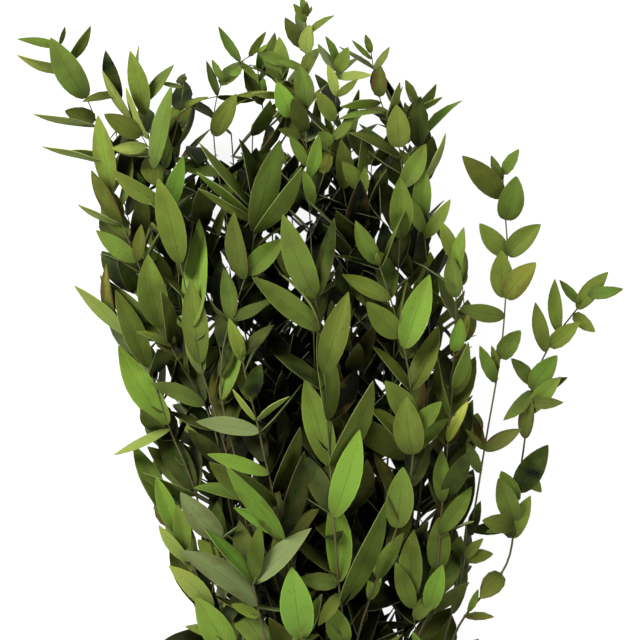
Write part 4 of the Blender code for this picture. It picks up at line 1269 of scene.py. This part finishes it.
def mottle_group():
    """Soft patches, small specks and lengthwise streaks on Object coordinates, for every material."""
    known = bpy.data.node_groups.get("dried_mottle")
    if known:
        return known
    tree = bpy.data.node_groups.new("dried_mottle", "ShaderNodeTree")
    for kind in ("Patch", "Speck", "Streak"):
        tree.interface.new_socket(kind + " Scale", in_out="INPUT", socket_type="NodeSocketFloat")
    for name in ("Patches", "Specks", "Streaks"):
        tree.interface.new_socket(name, in_out="OUTPUT", socket_type="NodeSocketFloat")
    scales = new_node(tree, "NodeGroupInput", (-3, 0)).outputs
    ends = new_node(tree, "NodeGroupOutput", (3, 0)).inputs
    where = new_node(tree, "ShaderNodeTexCoord", (-3, 2)).outputs["Object"]
    patches = texture(tree, "ShaderNodeTexNoise", (-1, 2), where, scales[0], 0, 3.0)
    wired(tree, ends["Patches"], mapped(tree, (1, 2), patches, 0.3, 0.7))
    specks = texture(tree, "ShaderNodeTexVoronoi", (-1, 0), where, scales[1], "Distance")
    wired(tree, ends["Specks"], mapped(tree, (1, 0), specks, 0.09, 0.20, 1.0, 0.0))
    along = new_node(tree, "ShaderNodeMapping", (-2, -2))
    along.inputs["Scale"].default_value = (1.0, 0.06, 1.0)
    wired(tree, along.inputs["Vector"], where)
    streaks = texture(tree, "ShaderNodeTexNoise", (-1, -2), along.outputs[0], scales[2], 0, 4.0)
    wired(tree, ends["Streaks"], mapped(tree, (1, -2), streaks, 0.3, 0.7))
    return tree


def new_material(name, scales):
    """A material with its mottle: the material, its tree, its patches, its specks and its streaks."""
    material = bpy.data.materials.new(name)
    material.use_nodes = True
    tree = material.node_tree
    mottle = new_node(tree, "ShaderNodeGroup", (-7, 0))
    mottle.node_tree = mottle_group()
    for target, value in zip(mottle.inputs, scales):
        target.default_value = value
    return material, tree, *mottle.outputs


def finish_shader(tree, colour, rough, height, distance, strength):
    """Sends a colour, a roughness and a height to the shader, which it returns."""
    shader = tree.nodes["Principled BSDF"]
    wired(tree, shader.inputs["Base Color"], colour)
    wired(tree, shader.inputs["Roughness"], rough)
    bump = new_node(tree, "ShaderNodeBump", (-1, -3))
    bump.inputs["Strength"].default_value = strength
    bump.inputs["Distance"].default_value = distance
    wired(tree, bump.inputs["Height"], height)
    wired(tree, shader.inputs["Normal"], bump.outputs[0])
    return shader


def tone_parts(tree, column):
    """The four values of the tone that the mesh keeps."""
    tone = new_node(tree, "ShaderNodeAttribute", (column, 2), attribute_name="tone")
    parts = new_node(tree, "ShaderNodeSeparateColor", (column + 1, 2))
    wired(tree, parts.inputs[0], tone.outputs["Color"])
    return *parts.outputs, tone.outputs["Alpha"]


def leaf_place(tree):
    """Where on the leaf a point lies: its share of the width off the midrib, and of the length."""
    uv = new_node(tree, "ShaderNodeUVMap", (-9, -2), uv_map="UVMap")
    place = new_node(tree, "ShaderNodeSeparateXYZ", (-8, -2))
    wired(tree, place.inputs[0], uv.outputs[0])
    across = math_node(tree, (-7, -3), "SUBTRACT", place.outputs[0], 0.5)
    return math_node(tree, (-7, -2), "ABSOLUTE", across), place.outputs[1]


def leaf_green(tree, settings, patches, along, light, yellow, grey):
    """The leaf's green by its tone: darker at its base as painted shade, yellower to its tip, greyer
    below.
    """
    uneven = math_node(tree, (-6, 1), "SUBTRACT", patches, 0.5)
    shade = math_node(tree, (-6, 2), "MULTIPLY_ADD", uneven, 0.30, light)
    # Painted shade: each leaf's tone is darkened towards its root, to 0.45 there, where it tucks under
    # the leaves by the stem
    painted_base_shade = mapped(tree, (-7, 3), along, 0.0, 0.5, 0.45, 1.06, smooth=True)
    shade = math_node(tree, (-6, 3), "MULTIPLY", painted_base_shade, shade)
    greens = (settings.leaf_dark, settings.leaf_middle, settings.leaf_bright)
    green = ramp(tree, (-5, 2), shade, [(0.5 * i, tuple(colour)) for i, colour in enumerate(greens)])
    to_tip = mapped(tree, (-6, 0), along, 0.1, 1.0, 0.25, 1.0)
    tip_share = math_node(tree, (-5, 0), "MULTIPLY", yellow, to_tip)
    green = mixed(tree, (-4, 2), tip_share, green, (*settings.leaf_yellow, 1.0))
    below = mixed(tree, (-4, 1), 0.75, green, (*settings.leaf_under, 1.0))
    return mixed(tree, (-3, 2), grey, green, below)


def leaf_material(settings):
    """Preserved leaf: green by its tone, with midrib, veins, paler margin, glands and dry spots."""
    material, tree, patches, specks, _ = new_material("leaf", LEAF_SCALES)
    light, yellow, brown, grey = tone_parts(tree, -9)
    across, along = leaf_place(tree)
    green = leaf_green(tree, settings, patches, along, light, yellow, grey)
    rib = mapped(tree, (-6, -2), across, 0.010, 0.030, 0.4, 0.0, smooth=True)
    rib = math_node(tree, (-5, -2), "MULTIPLY", rib, mapped(tree, (-6, -4), along, 0.0, 0.9, 1.0, 0.25))
    rows = math_node(tree, (-7, -4), "MULTIPLY", along, 13.0)
    slope = math_node(tree, (-6, -3), "MULTIPLY_ADD", across, -7.0, rows)
    slope = math_node(tree, (-5, -3), "PINGPONG", slope, 0.5)
    veins = mapped(tree, (-4, -3), slope, 0.0, 0.12, 1.0, 0.0)
    paler = mixed(tree, (-3, 4), 1.0, green, PALER, blend="MULTIPLY")
    green = mixed(tree, (-2, 2), math_node(tree, (-4, -2), "MULTIPLY", veins, 0.14), green, paler)
    green = mixed(tree, (-2, 3), mapped(tree, (-4, 3), across, 0.45, 0.49, 0.0, 0.6), green, paler)
    spotted = mapped(tree, (-4, -4), patches, 0.5, 0.9, 0.1, 0.6)
    lines = math_node(tree, (-3, -2), "MULTIPLY_ADD", specks, spotted, rib)
    green = mixed(tree, (-2, 1), lines, green, (*settings.leaf_dark, 1.0))
    ragged = math_node(tree, (-5, -1), "MULTIPLY", patches, 0.6)
    edge = math_node(tree, (-4, -1), "MULTIPLY_ADD", across, 0.9, ragged)
    dry = math_node(tree, (-3, -1), "MULTIPLY", mapped(tree, (-3, 1), edge, 0.5, 0.75), brown)
    green = mixed(tree, (-1, 2), dry, green, (*settings.leaf_dry, 1.0))
    height = math_node(tree, (-2, -3), "MULTIPLY_ADD", lines, -0.6, veins)
    rough = mapped(tree, (-1, 0), patches, 0.0, 1.0, 0.46, 0.62)
    shader = finish_shader(tree, green, rough, height, 0.00015, 0.5)
    shader.inputs["Specular IOR Level"].default_value = 0.03
    return material


def bark_material(settings):
    """Thin woody stems: grey-brown with streaks, greener towards their tips, brown at the nodes."""
    material, tree, patches, specks, streaks = new_material("bark", BARK_SCALES)
    young, _, swollen, _ = tone_parts(tree, -7)
    deep = tuple(DEEP * c for c in settings.bark) + (1.0,)
    wood = mixed(tree, (-4, 1), streaks, (*settings.bark, 1.0), deep)
    young = mapped(tree, (-5, 2), young, 0.45, 1.0, 0.0, 0.6)
    wood = mixed(tree, (-3, 1), young, wood, (*settings.leaf_middle, 1.0))
    wood = mixed(tree, (-2, 1), swollen, wood, (*settings.leaf_dry, 1.0))
    wood = mixed(tree, (-1, 1), math_node(tree, (-2, 0), "MULTIPLY", specks, 0.3), wood, PALE_SPECK)
    rough = mapped(tree, (-1, 0), patches, 0.0, 1.0, 0.62, 0.82)
    shader = finish_shader(tree, wood, rough, streaks, 0.0003, 0.6)
    shader.inputs["Specular IOR Level"].default_value = 0.1
    return material


def cut_wood_material(settings):
    """The pale cut ends of the stems."""
    material, tree, patches, specks, _ = new_material("cut_wood", CUT_SCALES)
    pale = tuple(PALE_WOOD * c for c in settings.bark) + (1.0,)
    wood = mixed(tree, (-2, 1), patches, pale, (*settings.bark, 1.0))
    finish_shader(tree, wood, 0.85, specks, 0.0002, 0.5)
    return material


def twine_material(settings):
    """Natural twisted twine: tan plies with darker and paler fibres."""
    material, tree, patches, _, streaks = new_material("twine", TWINE_SCALES)
    deep = tuple(DEEP * c for c in settings.twine) + (1.0,)
    tan = mixed(tree, (-3, 1), streaks, (*settings.twine, 1.0), deep)
    tan = mixed(tree, (-2, 1), math_node(tree, (-3, 0), "MULTIPLY", patches, 0.4), tan, PALE_FIBRE)
    finish_shader(tree, tan, 0.9, streaks, 0.0004, 0.8)
    return material


def floor_material():
    """White ground, which glows a little so that it stays white in the soft shade."""
    paper = bpy.data.materials.new("pale_table")
    paper.use_nodes = True
    inputs = paper.node_tree.nodes["Principled BSDF"].inputs
    inputs["Base Color"].default_value = (FLOOR_SHADE, FLOOR_SHADE, FLOOR_SHADE, 1.0)
    inputs["Roughness"].default_value = 0.9
    inputs["Emission Color"].default_value = WHITE
    inputs["Emission Strength"].default_value = FLOOR_GLOW
    return paper


def colour_setting(name, about, value):
    """A colour among the bunch's settings."""
    return FloatVectorProperty(name=name, description=about, subtype="COLOR", default=value)


class BunchSettings(bpy.types.PropertyGroup):
    """Spacing and colours of the bunch."""

    extra_spacing: FloatProperty(
        name="Added Pair Spacing",
        description="Distance between the small leaf pairs that fill the bunch",
        default=0.014, min=0.008, max=0.08, unit="LENGTH",
    )
    leaf_bright: colour_setting("Bright Leaf", "The lightest green", (0.040, 0.089, 0.0098))
    leaf_middle: colour_setting("Leaf", "The common green", (0.030, 0.046, 0.0062))
    # Near black: the end of the green ramp, which the painted shade of the bunch's core and of leaf bases
    # darkens towards, and the colour of midrib and speck marks
    leaf_dark: colour_setting("Dark Leaf", "The deepest green", (0.0009, 0.0014, 0.0001))
    leaf_under: colour_setting("Leaf Underside", "The greyer underside", (0.064, 0.080, 0.031))
    leaf_yellow: colour_setting("Yellowed Leaf", "Yellowed tips", (0.150, 0.150, 0.020))
    leaf_dry: colour_setting("Dry Spots", "Dried brown spots and nodes", (0.026, 0.013, 0.004))
    bark: colour_setting("Bark", "The woody stems", (0.040, 0.031, 0.014))
    twine: colour_setting("Twine", "The twine of the tie", (0.190, 0.130, 0.066))


class BUNCH_OT_foliage(bpy.types.Operator):
    """Grows the leafy stems: one piece for each stem's solid"""

    bl_idname = "bunch.foliage"
    bl_label = "Grow Foliage"

    def execute(self, context):
        settings = context.scene.bunch
        plans = stem_plans()
        for plan, tones in itertools.zip_longest(plans, STEM_TONES, fillvalue=""):
            plan["tones"] = tones
        grown = grown_routes(plans)
        crowd = crowd_of_wood(grown)
        leaves = [drawn_leaves(crowd, i + 1, grown[i], plan) for i, plan in enumerate(plans)]
        for i, plan in enumerate(plans):
            leaves[i] += ruled_leaves(crowd, i + 1, grown[i][0], not plan["leaves"])
        shift = sheet_shift()
        low, high = ((corner - shift) / MM for corner in CAD_BOX)
        for i, plan in enumerate(plans):
            plan["spare"] = list(spare_twigs(i + 1, grown[i][0]))
            spacing = settings.extra_spacing / MM
            leaves[i] += extra_leaves(crowd, i + 1, grown[i], plan, spacing, low, high)
            grown[i] += [route for route, _ in plan["spare"]]
        templates = [leaf_template(*size) for size in (SMALL_TEMPLATE, LARGE_TEMPLATE, DRAWN_TEMPLATE)]
        materials = [leaf_material(settings), bark_material(settings), cut_wood_material(settings)]
        for number, (routes, own) in enumerate(zip(grown, leaves), start=1):
            draw = random.Random(SHAPE_SEED + number)
            bm = bmesh.new()
            bm.verts.layers.float_color.new("tone")
            for leaf in own:
                grow_leaf(bm, templates, leaf, draw)
            grow_wood(bm, routes[0], [fine_radius(point.y) for point in routes[0]], True)
            for twig in routes[1:]:
                grow_wood(bm, twig, [FINE_TWIG] * len(twig), False)
            grow_nodes(bm, own, routes)
            finish_piece(f"foliage_{number:02d}", bm, materials, f"leafy_stem_{number:02d}")
        return {"FINISHED"}


def ply_points(ply):
    """One ply's line round the stems, twisted about the twine's own line."""
    ring = TIE_INNER * math.cos(math.pi / TIE_SIDES) + TWINE_SUNK * TWINE
    length = 2 * math.pi * ring * TWINE_TURNS
    steps = round(length / TWINE_STEP)
    points = []
    for step in range(steps + 1):
        turn = TWINE_TURNS * step / steps
        twist = 2 * math.pi * (length * step / steps / PLY_PITCH + ply / PLIES)
        angle = 2 * math.pi * turn
        out = ring + PLY_OFFSET * math.cos(twist)
        along = TIE_Y - 0.5 * TIE_TURNS * TWINE + PLY_OFFSET * math.sin(twist)
        along += (turn + 0.5) * TWINE * (TIE_TURNS - 1) / TWINE_TURNS
        points.append(Vector((TIE_X + out * math.sin(angle), along, TIE_Z - out * math.cos(angle))))
    return points


class BUNCH_OT_tie(bpy.types.Operator):
    """Winds the twisted twine round the stems, with its stray fibres"""

    bl_idname = "bunch.tie"
    bl_label = "Wind Tie"

    def execute(self, context):
        bm = bmesh.new()
        lines = [ply_points(ply) for ply in range(PLIES)]
        for line in lines:
            add_tube(bm, line, [PLY_RADIUS] * len(line), ROUND_PLY)
        draw = random.Random(TWINE_SEED)
        roots = lines[0][len(lines[0]) // FIBRES_PAST :]
        for _ in range(FIBRES):
            start = draw.choice(roots)
            out = (start - Vector((TIE_X, start.y, TIE_Z))).normalized()
            if out.z < FIBRE_LOWEST:
                continue
            stray = Vector([draw.uniform(-1, 1) for _ in range(3)])
            way = (out + FIBRE_SPREAD * stray).normalized()
            reach = draw.uniform(*FIBRE_REACH)
            droop = Vector((0, 0, -FIBRE_DROOP * reach))
            add_tube(bm, [start, start + way * 0.5 * reach, start + way * reach + droop], FIBRE_RADII)
        finish_piece("twine_tie", bm, [twine_material(context.scene.bunch)], "tie")
        return {"FINISHED"}


def lay_floor():
    """Lays the white floor just under the bunch."""
    bm = bmesh.new()
    bmesh.ops.create_grid(bm, x_segments=1, y_segments=1, size=FLOOR_HALF)
    bmesh.ops.translate(bm, verts=bm.verts, vec=(0, 0, -FLOOR_DROP))
    floor = placed("table_top", mesh_of("table_top", bm))
    floor.data.materials.append(floor_material())
    floor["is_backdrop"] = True


def hang_lamps(focus):
    """Hangs the soft lamps, each turned to the focus, and dims the room."""
    for name, place, size, watts in LAMPS:
        lamp = bpy.data.lights.new(name, "AREA")
        lamp.size, lamp.energy = size, watts
        holder = placed(name, lamp)
        holder.location = focus + Vector(place)
        holder.rotation_euler = (-Vector(place)).to_track_quat("-Z", "Y").to_euler()
    world = bpy.data.worlds.new("soft_room")
    world.use_nodes = True
    sky = world.node_tree.nodes["Background"]
    sky.inputs["Color"].default_value = WHITE
    sky.inputs["Strength"].default_value = ROOM_GLOW
    bpy.context.scene.world = world


class BUNCH_OT_stage(bpy.types.Operator):
    """Lays the white floor, hangs the soft lamps and sets the camera straight above the leaves"""

    bl_idname = "bunch.stage"
    bl_label = "Set Stage"

    def execute(self, context):
        focus = sheet_shift() + Vector((0, 0, FOCUS_HEIGHT * MM))
        lay_floor()
        hang_lamps(focus)
        lens = bpy.data.cameras.new("camera")
        lens.lens, lens.sensor_width, lens.clip_end = LENS, SENSOR, FARTHEST
        eye = placed("camera", lens)
        frame_side = 2 * SHEET_MIDDLE * SHEET_UNIT * MM
        eye.location = focus + Vector((0, 0, frame_side * LENS / SENSOR))
        context.scene.camera = eye
        context.scene.view_settings.view_transform = "Standard"
        return {"FINISHED"}


class BUNCH_PT_panel(bpy.types.Panel):
    """Sizes, colours and the steps that make the bunch"""

    bl_label = "Dried Foliage Bouquet"
    bl_idname = "BUNCH_PT_panel"
    bl_space_type = "VIEW_3D"
    bl_region_type = "UI"
    bl_category = "Bouquet"

    def draw(self, context):
        for name in BunchSettings.__annotations__:
            self.layout.prop(context.scene.bunch, name)
        for step in (BUNCH_OT_foliage, BUNCH_OT_tie, BUNCH_OT_stage):
            self.layout.operator(step.bl_idname)


CLASSES = (BunchSettings, BUNCH_OT_foliage, BUNCH_OT_tie, BUNCH_OT_stage, BUNCH_PT_panel)


def register():
    """Registers the classes and gives each scene its settings."""
    for known in CLASSES:
        bpy.utils.register_class(known)
    bpy.types.Scene.bunch = PointerProperty(type=BunchSettings)


def unregister():
    """Takes the settings and the classes away again."""
    del bpy.types.Scene.bunch
    for known in reversed(CLASSES):
        bpy.utils.unregister_class(known)


def main():
    """Makes the bunch and its stage."""
    register()
    bpy.ops.bunch.stage()
    bpy.ops.bunch.foliage()
    bpy.ops.bunch.tie()
    boxes = {"cad": CAD_BOX, "visual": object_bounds()}
    sizes = {name: [list(corner) for corner in box] for name, box in boxes.items()}


if __name__ == "__main__":
    main()
